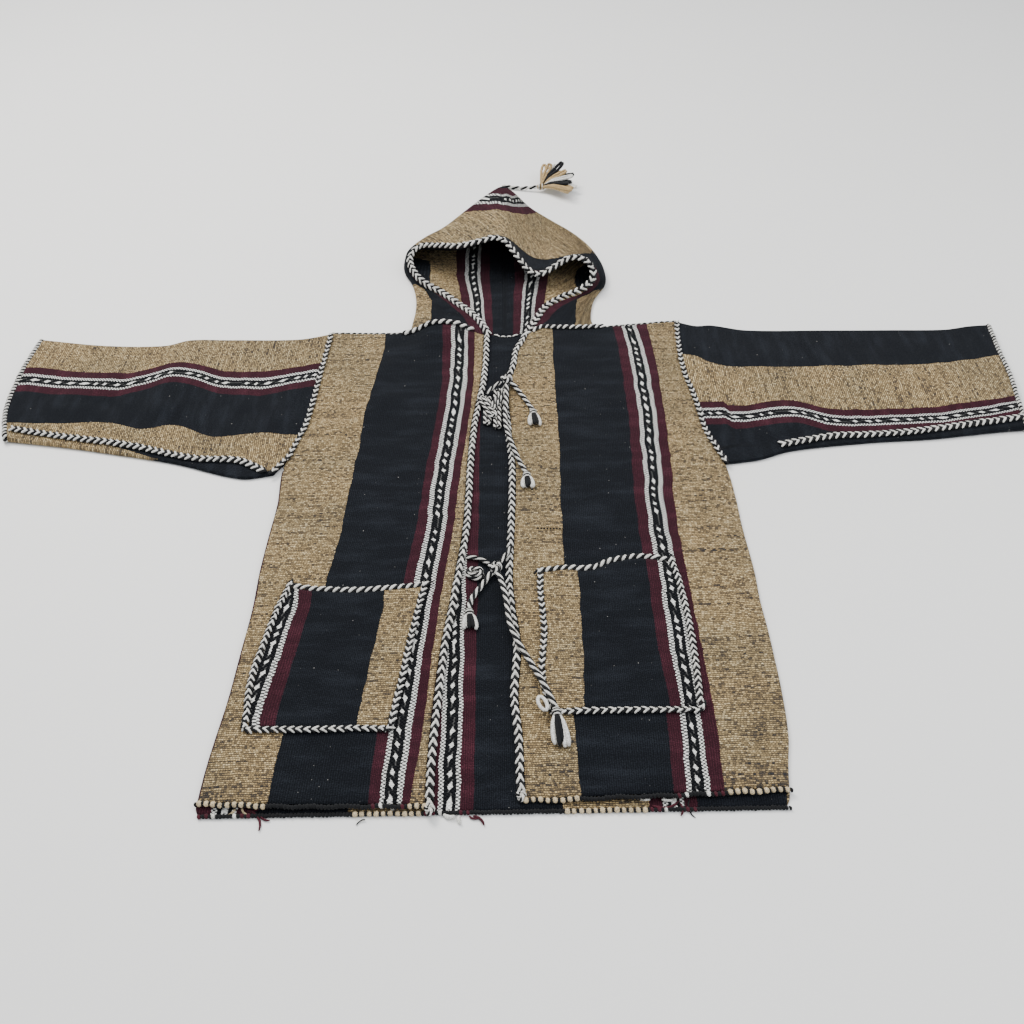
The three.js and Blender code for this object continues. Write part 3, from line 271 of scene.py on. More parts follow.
SLEEVE_CREASES = {
    "right": table(
        "x0 y0 x1 y1 width height",
        (-560, 790, -575, 650, 14, -1.8), (-432, 800, -440, 690, 13, -1.6), (-392, 790, -380, 640, 14, 1.8),
        (-690, 780, -670, 700, 12, 1.2), (-310, 800, -300, 700, 10, -1.0), (-470, 640, -400, 560, 14, 1.6),
        (-610, 640, -540, 590, 12, 1.2), (-330, 640, -290, 540, 10, 1.6), (-350, 560, -300, 520, 8, -1.2)),
    "left": table(
        "x0 y0 x1 y1 width height",
        (345, 800, 352, 740, 12, 1.2), (298, 800, 306, 640, 8, -1.4), (420, 640, 520, 610, 12, 1.5),
        (520, 600, 640, 606, 10, -1.2), (640, 640, 735, 612, 9, 1.8), (690, 600, 750, 600, 8, -1.2),
        (470, 780, 500, 690, 18, 1.4), (700, 790, 690, 700, 14, 1.2), (350, 560, 420, 575, 9, 1.6)),
}
HOOD_CREASES = table(
    "x0 y0 x1 y1 width height",
    (-132, 908, -60, 850, 8, -4.2), (-128, 886, -66, 838, 9, 2.8), (-136, 940, -108, 915, 7, 1.4),
    (130, 900, 90, 850, 8, 1.6), (120, 870, 70, 830, 7, -1.4), (-60, 1100, -20, 1190, 13, 2.0),
    (40, 1070, 34, 1180, 14, 2.2), (-110, 1060, -80, 1110, 11, -1.6), (90, 1040, 72, 1110, 12, -1.8),
    (-10, 1120, 0, 1230, 12, -1.6), (150, 1000, 140, 1060, 9, 1.6), (10, 1230, 6, 1285, 7, 1.4))


def ridges(rows, x, y):
    height = 0
    for fold in rows:
        dx, dy = fold["x1"] - fold["x0"], fold["y1"] - fold["y0"]
        t = clamp(((x - fold["x0"]) * dx + (y - fold["y0"]) * dy) / (dx * dx + dy * dy))
        away = math.hypot(x - fold["x0"] - t * dx, y - fold["y0"] - t * dy) / fold["width"]
        if away < 3:
            height += fold["height"] * math.exp(-away * away)
    return height


LOOSE = 1.6           # how much more uneven sleeves and hood lie than the fronts


def unevenness(x, y):
    return 0.35 * noise.noise((x / 34, y / 40, 3.1)) + 0.22 * noise.noise((x / 13, y / 15, 7.7))


def top_front(x):
    return along(TOP_EDGE, "x", x, "front")


def top_back(x):
    return along(TOP_EDGE, "x", x, "back")


def side_x(half, y):
    return along(half["front"], "y", y, "side")


def braid_x(half, y):
    return along(half["front"], "y", y, "braid")


def edge_x(half, y):
    return braid_x(half, y) + half["sign"] * (EDGE_BRAID[0] / 2 + SEAM_GAP)


def front_height(half, x, y):
    below = (top_front(x) - y) / NECK_LIFT_REACH
    lift = along(TOP_EDGE, "x", x, "lift") * math.exp(-below * below)
    return (FRONT_MID + max(0, lift) + ridges(half["folds"], x, y) + ridges(CREASES, x, y)
            + unevenness(x, y))


# ---- stripes: where a place lies across the cloth's repeat ----
def front_stripe(half, x, y):
    rows = FRONT_STRIPES[half["name"]]
    xs = [along(rows, "y", y, name) for name in STRIPE_NAMES]
    side = side_x(half, y)
    if half is RIGHT and x < xs[0]:
        return SIDE_AT[-1] * (xs[0] - x) / max(xs[0] - side, 1)
    if half is LEFT and x > xs[-1]:
        return TAN_AT + (SIDE_AT[1] - TAN_AT) * (x - xs[-1]) / max(side - xs[-1], 1)
    return between(xs, STRIPE_MARKS, x)


def back_stripe(x, y):
    xs, counts = zip(*BACK_STRIPES)
    low, high = BACK_TAN
    if x < low:
        x = lerp(low, xs[0], (x - low) / min(side_x(RIGHT, y) - low, -1))
    if x > high:
        x = lerp(high, xs[-1], (x - high) / max(side_x(LEFT, y) - high, 1))
    return between(xs, counts, x)


def sleeve_stripe(half, s, x, y, upper):
    rows = SLEEVE_STRIPES[half["name"]]
    high, mid, low = (along(rows, "x", x, name) for name in ("high", "mid", "low"))
    near, far = sleeve_sides(half, s)
    marks = SLEEVE_MARKS[half["name"]]
    near_mark = lerp(*SLEEVE_NEAR[half["name"]], s)
    beyond = SLEEVE_BEYOND[half["name"]] / max(far - high, SLEEVE_BEYOND[half["name"]])
    if not upper:
        return lerp(near_mark, marks[0] + (far - high) * beyond, clamp((y - near) / (far - near)))
    seam = along(half["seam"], "x", x, "y")
    if y < seam:
        return near_mark + (y - near)
    if y < high:
        return -between([-high, -mid, -low], [-mark for mark in marks], -y)
    return marks[0] + (y - high) * beyond


def pocket_stripe(half, x, y):
    rows = POCKETS[half["name"]]["stripes"]
    borders = [along(rows, "y", y, name) for name in ("tan", "black", "wine", "white")]
    xs = [half["sign"] * b for b in borders]
    return between(xs, STRIPE_MARKS[:4], half["sign"] * x)


# ---- meshes ----
def linked(name, data):
    obj = bpy.data.objects.new(name, data)
    bpy.context.scene.collection.objects.link(obj)
    return obj


def mesh_object(name, verts, faces, material, uvs=None, tints=None):
    mesh = bpy.data.meshes.new(name)
    mesh.from_pydata([place(v) for v in verts], [], faces)
    mesh.update()
    if uvs is not None:
        layer = mesh.uv_layers.new(name="cloth")
        flat = []
        for face in faces:
            # a face that spans two ends of the cloth counts both by the nearest whole repeat
            start = uvs[face[0]][0]
            for corner in face:
                across, up = uvs[corner]
                flat += [(across - REPEAT * round((across - start) / REPEAT)) / 1000, up / 1000]
        layer.data.foreach_set("uv", flat)
    if tints is not None:
        attribute = mesh.color_attributes.new(name="tint", type="FLOAT_COLOR", domain="POINT")
        attribute.data.foreach_set("color", [c for tint in tints for c in (*tint, 1.0)])
    mesh.polygons.foreach_set("use_smooth", [True] * len(mesh.polygons))
    mesh.materials.append(material)
    return linked(name, mesh)


def piece(obj, node):
    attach(obj, "root")
    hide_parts(node)
    return obj


def own_names(half, *names):
    """The names with the half's own name behind them, where there is one."""
    return [f"{name}_{half['name']}" for name in names] if half else names


def cloth(name, node, points, uvs, cells, half=None):
    """A thin two-sided shell on a sheet of four-sided cells, anticlockwise as seen from outside."""
    name, node = own_names(half, name, node)
    normals = [Vector((0, 0, 0)) for _ in points]
    for a, b, c, d in cells:
        normal = (points[c] - points[a]).cross(points[d] - points[b])
        for corner in (a, b, c, d):
            normals[corner] += normal
    used = sorted({corner for cell in cells for corner in cell})
    where = {corner: i for i, corner in enumerate(used)}
    offsets = [normals[corner].normalized() * (SHELL / 2) for corner in used]
    verts = [points[c] + o for c, o in zip(used, offsets)] + [points[c] - o for c, o in zip(used, offsets)]
    inner = len(used)
    edges = {(cell[i], cell[(i + 1) % 4]) for cell in cells for i in range(4)}
    faces = []
    for cell in cells:
        a, b, c, d = (where[corner] for corner in cell)
        faces.append((a, b, c, d))
        faces.append((inner + d, inner + c, inner + b, inner + a))
        for i in range(4):
            here, there = cell[i], cell[(i + 1) % 4]
            if (there, here) not in edges:
                p, q = where[here], where[there]
                faces.append((q, p, inner + p, inner + q))
    flat = [uvs[c] for c in used]
    return piece(mesh_object(name, verts, faces, WOVEN, uvs=flat + flat), node)


def picked(path, i, closed):
    return path[i % len(path)] if closed else path[clamp(i, 0, len(path) - 1)]


UP = Vector((0, 0, 1))


class Yarns:
    """Collects plump stitches and strands of yarn into one mesh, each vertex with its tint."""

    def __init__(self):
        self.verts, self.faces, self.tints = [], [], []

    def strand(self, path, radii, tint, sides=6, closed=False, up=UP, flat=1.0):
        """A tube along path; radii is one number or one for each point, flat squashes it along up."""
        count = len(path)
        base = len(self.verts)
        for i, p in enumerate(path):
            forward = picked(path, i + 1, closed) - picked(path, i - 1, closed)
            if forward.length < 1e-6:
                forward = Vector((0, 1, 0))
            forward.normalize()
            across = forward.cross(up)
            if across.length < 0.15:
                across = forward.cross(Vector((0.3, 1, 0.2)))
            across.normalize()
            rise = across.cross(forward)
            radius = radii[i] if isinstance(radii, (list, tuple)) else radii
            for angle in circle(sides):
                self.verts.append(p + across * (math.cos(angle) * radius)
                                  + rise * (math.sin(angle) * radius * flat))
                self.tints.append(tint)
        for i in range(count if closed else count - 1):
            here, there = base + i * sides, base + ((i + 1) % count) * sides
            for k in range(sides):
                turn = (k + 1) % sides
                self.faces.append((here + k, here + turn, there + turn, there + k))
        if not closed:
            self.faces.append(tuple(base + k for k in reversed(range(sides))))
            self.faces.append(tuple(base + (count - 1) * sides + k for k in range(sides)))

    def stitch(self, a, b, lift, radius, tint, up=UP, flat=0.8, tip=0.6):
        """A plump slanting stitch from a to b, arched along up."""
        path, radii = [], []
        for t, fat in ((0, 0.5), (0.16, 0.88), (0.5, 1), (0.84, 0.94), (1, tip)):
            path.append(a.lerp(b, t) + up * (lift * math.sin(math.pi * t)))
            radii.append(radius * fat)
        self.strand(path, radii, tint, up=up, flat=flat)

    def piece(self, name, node, slot="braid", half=None):
        name, node = own_names(half, name, node)
        return piece(mesh_object(name, self.verts, self.faces, YARN, tints=self.tints), node)


def catmull(p0, p1, p2, p3, t):
    return 0.5 * ((2 * p1) + (p2 - p0) * t + (2 * p0 - 5 * p1 + 4 * p2 - p3) * t * t
                  + (3 * p1 - p0 - 3 * p2 + p3) * t ** 3)


CURVE_STEPS = 8       # points on a curve from one place of its path to the next


def resample(path, pitch, closed=False):
    """Evenly spaced points on a smooth curve through path, with each one's place in the list."""
    spans = len(path) if closed else len(path) - 1
    dense, places = [], []
    for i in range(spans):
        around = [picked(path, i + k, closed) for k in (-1, 0, 1, 2)]
        for t in shares(CURVE_STEPS)[:-1]:
            dense.append(catmull(*around, t))
            places.append(i + t)
    dense.append(path[0 if closed else -1].copy())
    places.append(spans)
    lengths = [0]
    for a, b in zip(dense, dense[1:]):
        lengths.append(lengths[-1] + (b - a).length)
    steps = max(2, round(lengths[-1] / pitch))
    out, at = [], []
    j = 0
    for k in range(steps if closed else steps + 1):
        target = lengths[-1] * k / steps
        while j < len(lengths) - 2 and lengths[j + 1] < target:
            j += 1
        t = (target - lengths[j]) / max(lengths[j + 1] - lengths[j], 1e-9)
        out.append(dense[j].lerp(dense[j + 1], t))
        at.append(lerp(places[j], places[j + 1], t))
    return out, at


WHITE_YARN = (0.86, 0.85, 0.80)
GREY_YARN = (0.42, 0.41, 0.39)
BLACK_YARN = (0.006, 0.0065, 0.008)
TAN_YARN = (0.50, 0.35, 0.17)
PALE_TAN = (0.66, 0.50, 0.28)
CREAM_YARN = (0.70, 0.57, 0.36)
WINE_YARN = (0.075, 0.010, 0.02)


def varied(tint, rng, amount=0.12):
    k = 1 + rng.uniform(-amount, amount)
    return tuple(min(1, c * k) for c in tint)


def shaken(rng, rise=0.2):
    return Vector((rng.uniform(-0.4, 0.4), rng.uniform(-0.4, 0.4), rng.uniform(-rise, rise)))


def frames(path, across_at, closed=False):
    """Direction, width direction and upward direction at each point of a band's path."""
    out = []
    for i in range(len(path)):
        forward = (picked(path, i + 1, closed) - picked(path, i - 1, closed)).normalized()
        up = across_at(i, forward).cross(forward).normalized()
        out.append((forward, forward.cross(up).normalized(), up))
    return out


def level(at, forward):
    """The width direction of a band that lies flat."""
    return forward.cross(UP)


def band(path, across_at, pitch, closed):
    """Evenly spaced points along a band, and the directions at each."""
    points, places = resample(path, pitch, closed)
    return points, frames(points, lambda i, forward: across_at(places[i], forward), closed)


def plait(yarns, path, across_at, size, seed, closed=False, pitch=12.4, share=0.55, run=0.38):
    """A plaited edge: plump white stitches in two slanting rows, with thinner black ones between."""
    rng = random.Random(seed)
    points, ways = band(path, across_at, pitch, closed)
    width, height = size
    spacing = pitch * (width / 2) / math.hypot(pitch * run * 2, width / 2)
    yarns.strand(points, min(width, height) * 0.26, BLACK_YARN, closed=closed, flat=0.8)
    for k, (p, (forward, across, up)) in enumerate(zip(points, ways)):
        # the line where the two rows meet wanders from side to side
        drift = 0.13 * math.sin(k * 0.31 + seed)
        for side in (-1, 1):
            for offset, part, tint in ((0, share, WHITE_YARN), (pitch * 0.5, 1.06 - share, BLACK_YARN)):
                shake = shaken(rng)
                shift = offset + (pitch * 0.14 if side > 0 else 0) + rng.uniform(-0.5, 0.5)
                radius = spacing * part / 2 * rng.uniform(0.9, 1.1)
                outer = p + forward * (shift - pitch * run) + across * (side * (width / 2 - radius * 0.6))
                inner = (p + forward * (shift + pitch * run) - across * (width * (side * 0.07 + drift))
                         + up * (height * 0.26))
                yarns.stitch(outer - up * (height * 0.12) + shake, inner + shake, height * 0.18, radius,
                             varied(tint, rng), up=up, flat=min(1, height * 0.5 / radius), tip=0.72)


WHIP_INSET = 1.4


def whip(yarns, path, across_at, size, seed, closed=False, pitch=9.0, slant=0.6, tints=None):
    """An overcast edge: slanting stitches over the whole width, white and black by turns."""
    rng = random.Random(seed)
    points, ways = band(path, across_at, pitch, closed)
    width, height = size
    yarns.strand(points, min(width * 0.36, height * 0.46), BLACK_YARN, closed=closed, flat=0.8)
    span = width - WHIP_INSET
    spacing = pitch * span / math.hypot(span, slant * width)
    for p, (forward, across, up) in zip(points, ways):
        first, second, plump = tints(p) if tints else (WHITE_YARN, BLACK_YARN, 1)
        for offset, radius, tint in ((0, spacing * 0.33 * plump, first), (pitch * 0.5, spacing * 0.27, second)):
            shake = shaken(rng)
            fat = radius * rng.uniform(0.85, 1.12)
            lean = slant * width / 2 * rng.uniform(0.8, 1.2)
            a = p + forward * (offset - lean) - across * (span / 2) - up * (height * 0.22)
            b = p + forward * (offset + lean) + across * (span / 2) - up * (height * 0.22)
            yarns.stitch(a + shake, b + shake, height * 0.5, fat, varied(tint, rng), up=up)


def length_of(points):
    return sum((b - a).length for a, b in zip(points, points[1:]))


def twist(yarns, path, diameter, seed, closed=False, pitch=27.0, tints=(WHITE_YARN, BLACK_YARN) * 2):
    """Plies of yarn twisted into a cord along a path."""
    rng = random.Random(seed)
    points, _ = resample(path, 1.7, closed)
    length = length_of(points)
    turns = max(1, round(length / pitch)) if closed else length / pitch
    count = len(points)
    ply = diameter * 0.26
    reach = diameter / 2 - ply
    ways = frames(points, level, closed)
    for k, tint in enumerate(tints):
        strand = []
        for i, (p, (forward, across, up)) in enumerate(zip(points, ways)):
            angle = 2 * math.pi * (turns * i / (count if closed else count - 1) + k / len(tints))
            strand.append(p + across * (math.cos(angle) * reach) + up * (math.sin(angle) * reach))
        plump = 0.97 if tint is WHITE_YARN else 1.1
        yarns.strand(strand, ply * plump, varied(tint, rng), closed=closed)


# ---- materials ----
class Nodes:
    def __init__(self, name):
        self.material = bpy.data.materials.new(name)
        self.material.use_nodes = True
        self.tree = self.material.node_tree
        self.shader = self.tree.nodes["Principled BSDF"]

    def add(self, kind, **settings):
        node = self.tree.nodes.new(kind)
        for key, value in settings.items():
            setattr(node, key, value)
        return node

    def link(self, source, target):
        self.tree.links.new(source, target)

    def feed(self, socket, value):
        if isinstance(value, bpy.types.NodeSocket):
            self.link(value, socket)
        else:
            socket.default_value = value

    def math(self, operation, a, b=0.0, c=0.0, clamp=False):
        node = self.add("ShaderNodeMath", operation=operation, use_clamp=clamp)
        for socket, value in zip(node.inputs, (a, b, c)):
            self.feed(socket, value)
        return node.outputs[0]

    def mul(self, a, b):
        return self.math("MULTIPLY", a, b)

    def over(self, a, b):
        return self.math("DIVIDE", a, b)

    def plus(self, a, b):
        return self.math("ADD", a, b)

    def less(self, a, b):
        return self.math("SUBTRACT", a, b)

    def mul_add(self, a, b, c):
        return self.math("MULTIPLY_ADD", a, b, c)

    def apart(self, a, b):
        return self.math("ABSOLUTE", self.less(a, b))

    def mix(self, factor, a, b, blend="MIX"):
        node = self.add("ShaderNodeMix", data_type="RGBA", blend_type=blend)
        self.feed(node.inputs["Factor"], factor)
        for socket, value in zip([s for s in node.inputs if s.type == "RGBA"], (a, b)):
            self.feed(socket, value if isinstance(value, bpy.types.NodeSocket) else (*value, 1))
        return [s for s in node.outputs if s.type == "RGBA"][0]

    def colours(self, value, stops, joined="LINEAR"):
        """The colours of stops, (place from 0 to 1, colour), read at value."""
        node = self.add("ShaderNodeValToRGB")
        node.color_ramp.interpolation = joined
        elements = node.color_ramp.elements
        while len(elements) > 1:
            elements.remove(elements[-1])
        elements[0].position, elements[0].color = 0, (*stops[0][1], 1)
        for at, colour in stops[1:]:
            elements.new(at).color = (*colour, 1)
        self.link(value, node.inputs[0])
        return node.outputs[0]

    def steps(self, value, stops):
        """1 where the stripe position falls in a stretch marked 1, with hard edges."""
        return self.colours(value, [(at / REPEAT, (mark,) * 3) for at, mark in stops], "CONSTANT")

    def blend(self, value, stops):
        """Colours joined smoothly; stops are (value, colour), scaled to the ramp's own range."""
        low, high = stops[0][0], stops[-1][0]
        return self.colours(self.ramp(value, low, high), [((at - low) / (high - low), c) for at, c in stops])

    def ramp(self, value, low, high):
        node = self.add("ShaderNodeMapRange", clamp=True)
        for key, number in (("From Min", low), ("From Max", high), ("To Min", 0.0), ("To Max", 1.0)):
            node.inputs[key].default_value = number
        self.link(value, node.inputs["Value"])
        return node.outputs[0]

    def noise(self, vector, scale, detail=2.0, rough=0.5):
        node = self.add("ShaderNodeTexNoise")
        self.link(vector, node.inputs["Vector"])
        for key, number in (("Scale", scale), ("Detail", detail), ("Roughness", rough)):
            node.inputs[key].default_value = number
        return node.outputs[0]

    def dice(self, x, y):
        """A random number for each whole-numbered place."""
        node = self.add("ShaderNodeTexWhiteNoise", noise_dimensions="2D")
        self.link(self.vector(x, y), node.inputs["Vector"])
        return node.outputs["Value"]

    def vector(self, x, y, z=0.0):
        node = self.add("ShaderNodeCombineXYZ")
        for socket, value in zip(node.inputs, (x, y, z)):
            self.feed(socket, value)
        return node.outputs[0]

    def surface(self, colour, roughness, specular=0.5, sheen=0.0, sheen_rough=0.5):
        self.link(colour, self.shader.inputs["Base Color"])
        for key, number in (("Roughness", roughness), ("Specular IOR Level", specular), ("Sheen Weight", sheen),
                            ("Sheen Roughness", sheen_rough)):
            self.shader.inputs[key].default_value = number
        return self.material

    def relief(self, height, strength, distance):
        node = self.add("ShaderNodeBump")
        node.inputs["Strength"].default_value = strength
        node.inputs["Distance"].default_value = distance
        self.link(height, node.inputs["Height"])
        self.link(node.outputs[0], self.shader.inputs["Normal"])


def woven_cloth(name):
    """Striped hand weave: across is the place in the repeat, up the place along the cloth, both in mm."""
    n = Nodes(name)
    uv = n.add("ShaderNodeUVMap", uv_map="cloth")
    split = n.add("ShaderNodeSeparateXYZ")
    n.link(uv.outputs[0], split.inputs[0])
    across, up = (n.mul(split.outputs[i], 1000.0) for i in (0, 1))

    def grain(by_across, by_up, detail=2.0, rough=0.5):
        return n.noise(n.vector(n.mul(across, by_across), n.mul(up, by_up)), 1.0, detail, rough)

    def centred(value, reach):
        return n.mul(n.less(value, 0.5), reach)

    def edge_of(value, low, high):
        return n.ramp(n.apart(n.math("FRACT", value), 0.5), low, high)

    # the place in the repeat: borders are ragged from row to row and wander along the cloth
    shift = n.mul_add(n.less(grain(0.02, 0.42), 0.5), 3.2, centred(grain(0.004, 0.03, 1.0), 5.0))
    count = n.math("FLOORED_MODULO", n.plus(across, shift), float(REPEAT))
    position = n.over(count, float(REPEAT))
    is_wine = n.steps(position, ((0, 0), (WINE_AT, 1), (WHITE_AT, 0), (WINE2_AT, 1), (TAN_AT, 0)))
    is_white = n.steps(position, ((0, 0), (WHITE_AT, 1), (CHAIN_AT, 0), (WHITE2_AT, 1), (WINE2_AT, 0)))
    is_chain = n.steps(position, ((0, 0), (CHAIN_AT, 1), (WHITE2_AT, 0)))
    is_tan = n.steps(position, ((0, 0), (TAN_AT, 1)))
    fine = grain(0.55, 0.75, 2.0, 0.6)
    broad = grain(0.012, 0.05, 3.0, 0.6)
    lines = grain(0.006, 0.30, 3.0, 0.7)

    # tan: rows of short heathered stitches, the grooves between them darkened with painted shade
    wobble = grain(0.045, 0.05)
    row_at = n.mul_add(n.less(fine, 0.5), 0.7, n.over(n.mul_add(wobble, 5.0, up), PICK))
    row = n.math("FLOOR", row_at)
    cell_at = n.mul_add(n.dice(row, 0.0), 7.0, n.over(across, STITCH))
    cell_at = n.mul_add(grain(0.4, 0.4, 1.0), 0.8, cell_at)
    kind = n.mul_add(n.dice(n.math("FLOOR", cell_at), row), 0.62, 0.255)
    dark_zone = n.plus(n.mul(n.ramp(lines, 0.46, 0.70), 0.38), n.mul(n.ramp(broad, 0.50, 0.72), 0.16))
    near_hem = n.ramp(n.apart(up, 14.0), 34.0, 6.0)
    pulled = n.ramp(n.apart(n.mul_add(wobble, 9.0, up), 108.0), 4.5, 1.0)
    pulled = n.mul(pulled, n.ramp(across, 100.0, 120.0))
    # darker rows near the hem, and one pulled row
    dark_zone = n.mul_add(near_hem, 0.16, n.mul_add(pulled, 0.36, dark_zone))
    kind = n.less(n.mul_add(n.less(fine, 0.5), 0.8, kind), dark_zone)
    tan = n.blend(kind, ((-0.1, (0.025, 0.027, 0.033)), (0.12, (0.12, 0.091, 0.058)), (0.32, (0.34, 0.235, 0.110)),
                         (0.6, (0.60, 0.425, 0.200)), (1.0, (0.94, 0.75, 0.43))))
    greyer = n.mul(n.ramp(grain(0.007, 0.009), 0.40, 0.60), 0.75)
    tan = n.mix(greyer, tan, (0.82, 0.87, 0.93), blend="MULTIPLY")
    # the grooves between rows and stitches: sunk in the relief below, and darkened in the colour as painted shade
    groove_and_shade = n.math("MAXIMUM", edge_of(row_at, 0.13, 0.44), n.mul(edge_of(cell_at, 0.24, 0.5), 0.8))
    tan = n.mix(n.mul(groove_and_shade, 0.90), tan, (0.040, 0.032, 0.026))

    # black and wine: fine ribs up the cloth, fuzz and stray pale fibres
    ribs = n.math("SINE", n.mul(across, 2 * math.pi / RIB))
    fuzz = n.plus(n.mul(n.ramp(ribs, -0.8, 1.0), 0.22), n.mul(fine, 1.3))
    fuzz = n.plus(fuzz, n.mul(n.ramp(broad, 0.45, 0.75), 0.30))
    black = n.blend(fuzz, ((0.35, (0.0012, 0.0017, 0.0027)), (0.75, (0.0036, 0.0046, 0.0068)),
                           (1.2, (0.0160, 0.0190, 0.0250))))
    fibres = n.ramp(grain(0.30, 0.22, 1.0), 0.775, 0.805)
    black = n.mix(n.mul(fibres, 0.8), black, (0.30, 0.29, 0.27))
    wine = n.blend(fuzz, ((0.3, (0.010, 0.0028, 0.0048)), (0.8, (0.028, 0.0066, 0.0112)),
                          (1.25, (0.085, 0.022, 0.034))))

    # white strips: two columns of small beads; chain: slanting lozenges on black
    column = n.math("FLOOR", n.over(n.less(count, float(WHITE_AT)), (CHAIN_AT - WHITE_AT) / 2))
    beads = n.math("SINE", n.mul_add(column, math.pi, n.mul(up, 2 * math.pi / BEAD)))
    beaded = n.mul_add(fine, 1.5, beads)
    white = n.blend(beaded, ((0.05, (0.03, 0.032, 0.032)), (0.68, (0.36, 0.36, 0.34)), (1.15, (0.85, 0.84, 0.79)),
                             (1.7, (0.92, 0.91, 0.86))))
    drift = n.noise(n.vector(0.0, n.mul(up, 0.02)), 1.0)
    run = centred(n.math("FRACT", n.mul_add(drift, 3.0, n.over(up, LOZENGE))), LOZENGE)
    off = n.mul_add(run, 0.22, n.less(count, (CHAIN_AT + WHITE2_AT) / 2))
    size = n.plus(n.over(n.math("ABSOLUTE", off), 2.9), n.over(n.math("ABSOLUTE", run), 5.6))
    size = n.plus(size, centred(fine, 0.9))
    tail = n.mul(n.ramp(n.math("ABSOLUTE", off), 1.0, 0.5), 0.07)
    chain = n.mix(n.math("MAXIMUM", n.ramp(size, 1.08, 0.84), tail), (0.0040, 0.0045, 0.0060), (0.86, 0.85, 0.80))

    colour = n.mix(is_tan, black, tan)
    for is_here, stripe in ((is_wine, wine), (is_white, white), (is_chain, chain)):
        colour = n.mix(is_here, colour, stripe)
    height = n.mix(is_tan, fuzz, n.mul_add(groove_and_shade, -1.0, n.mul(kind, 0.5)))
    height = n.mix(n.math("ADD", is_white, is_chain, clamp=True), height, n.mul(beaded, 0.8))
    n.relief(height, 1.0, 0.0011)
    return n.surface(colour, 0.95, 0.08, 0.02, 0.6)


def yarn_material(name):
    n = Nodes(name)
    tint = n.add("ShaderNodeAttribute", attribute_name="tint", attribute_type="GEOMETRY")
    where = n.add("ShaderNodeTexCoord").outputs["Object"]
    fuzz = n.noise(where, 900.0, 3.0, 0.65)
    patches = n.ramp(n.noise(where, 160.0), 0.5, 0.8)
    shade = n.mix(n.ramp(fuzz, 0.60, 0.35), tint.outputs["Color"], (0.35, 0.33, 0.30), blend="MULTIPLY")
    shade = n.mix(n.mul(patches, 0.35), shade, (0.75, 0.70, 0.62), blend="MULTIPLY")
    n.relief(fuzz, 0.6, 0.0006)
    return n.surface(shade, 0.88, 0.25, 0.05)


def floor_material():
    n = Nodes("pale_floor")
    cloud = n.noise(n.add("ShaderNodeTexCoord").outputs["Object"], 1.3, 3.0)
    return n.surface(n.mix(cloud, (0.84, 0.83, 0.80), (0.89, 0.885, 0.865)), 0.55)


WOVEN = woven_cloth("woven_wool")
YARN = yarn_material("plaited_yarn")

# ---- camera ----
CAMERA_AT = (0.010, -0.92667, 0.95043)
CAMERA_TILT, CAMERA_ROLL = 45, -0.9
camera = linked("camera", bpy.data.cameras.new("camera"))
bpy.context.scene.camera = camera
camera.data.lens = 36
camera.data.sensor_width = 36
camera.data.sensor_fit = "AUTO"
camera.data.clip_start = 0.05
camera.matrix_world = (Matrix.Translation(CAMERA_AT) @ Matrix.Rotation(math.radians(CAMERA_TILT), 4, "X")
                       @ Matrix.Rotation(math.radians(CAMERA_ROLL), 4, "Z"))

# ---- ties: free cords on the routes of their solids ----
TIES = {
    "upper": {
        "knot": (5, 689, 14.2),
        "bridges": [[(-24.9, 665.3, 6.6), (-20.3, 669, 8.6), (-14, 675, 11.7), (-8, 680, 12.4),
                     (-3.6, 683.9, 13.4)]],
        "loops": [(-22, 624, 5.4, 13, 70, 0), (-9.8, 632, 5.4, 13, 88, 0)],
        "ends": {
            "long": ([(5.5, 678.8, 12.1), (5, 665, 11.9), (4.5, 650, 11.7), (4, 634, 11.7), (2.5, 610, 11.9),
                      (3, 588, 12.3), (6.5, 566, 12.7), (10.5, 548, 12.9), (15, 532, 12.5), (20, 514, 11.6),
                      (26, 497, 11.7), (30, 486, 12.5)], (3, -29, 10.8)),
            "short": ([(11.9, 682.8, 12.7), (19, 672, 10.8), (25, 661, 9.5), (31, 649, 9.3), (37, 634, 9.4),
                       (42, 620, 11.2)], (4, -32, 9.4))},
    },
    "lower": {
        "knot": (-12, 319, 8.5),
        "bridges": [[(-48, 339, 6), (-38, 338, 6.2), (-29, 334, 6.8), (-19, 325.8, 8.1)],
                    [(-5.2, 327, 9.6), (0, 334, 11.8), (4, 341, 12), (8, 349, 12)]],
        "loops": [(-36, 312, 5.4, 17, 28, 1.1)],
        "ends": {
            "short": ([(-16.7, 310.6, 7.8), (-24, 299, 6.2), (-30, 289, 6.2), (-36, 279, 6.2),
                       (-41, 268, 6.4), (-43, 254, 7.5)], (3, -29, 5.7)),
            "long": ([(-8.6, 309.7, 8.8), (-5.4, 300, 9.8), (-3, 290, 10.9), (0, 276, 11.2), (2, 260, 11.4),
                      (3.5, 244, 11.3), (5.5, 230, 11.4), (9, 216, 11.8), (14, 203, 11.8), (20, 190, 10),
                      (27, 176, 9.5), (33, 162, 10.8), (38, 150, 13.6), (43, 138, 14.8), (49, 122, 14.8),
                      (54, 107, 15.9)], (5, -46, 9))},
    },
}
TIE_TAILS = {"tie_lower_long_tassel": ((40, 113, 16, 4.5, 9),)}
LOOP_SWING, LOOP_BOW, LOOP_LIFT = 0.42, 3.4, 4.2
HOOD_CORD = [(1, 1304, 4.6), (11, 1300.6, 4.2), (22, 1297, 4.2), (34, 1294, 4.6), (46, 1291, 6),
             (58, 1289, 7.9), (66.9, 1288, 9.2)]


def vectors(points):
    return [Vector(p) for p in points]


ROUTE_FEW, ROUTE_MANY = 15, 38


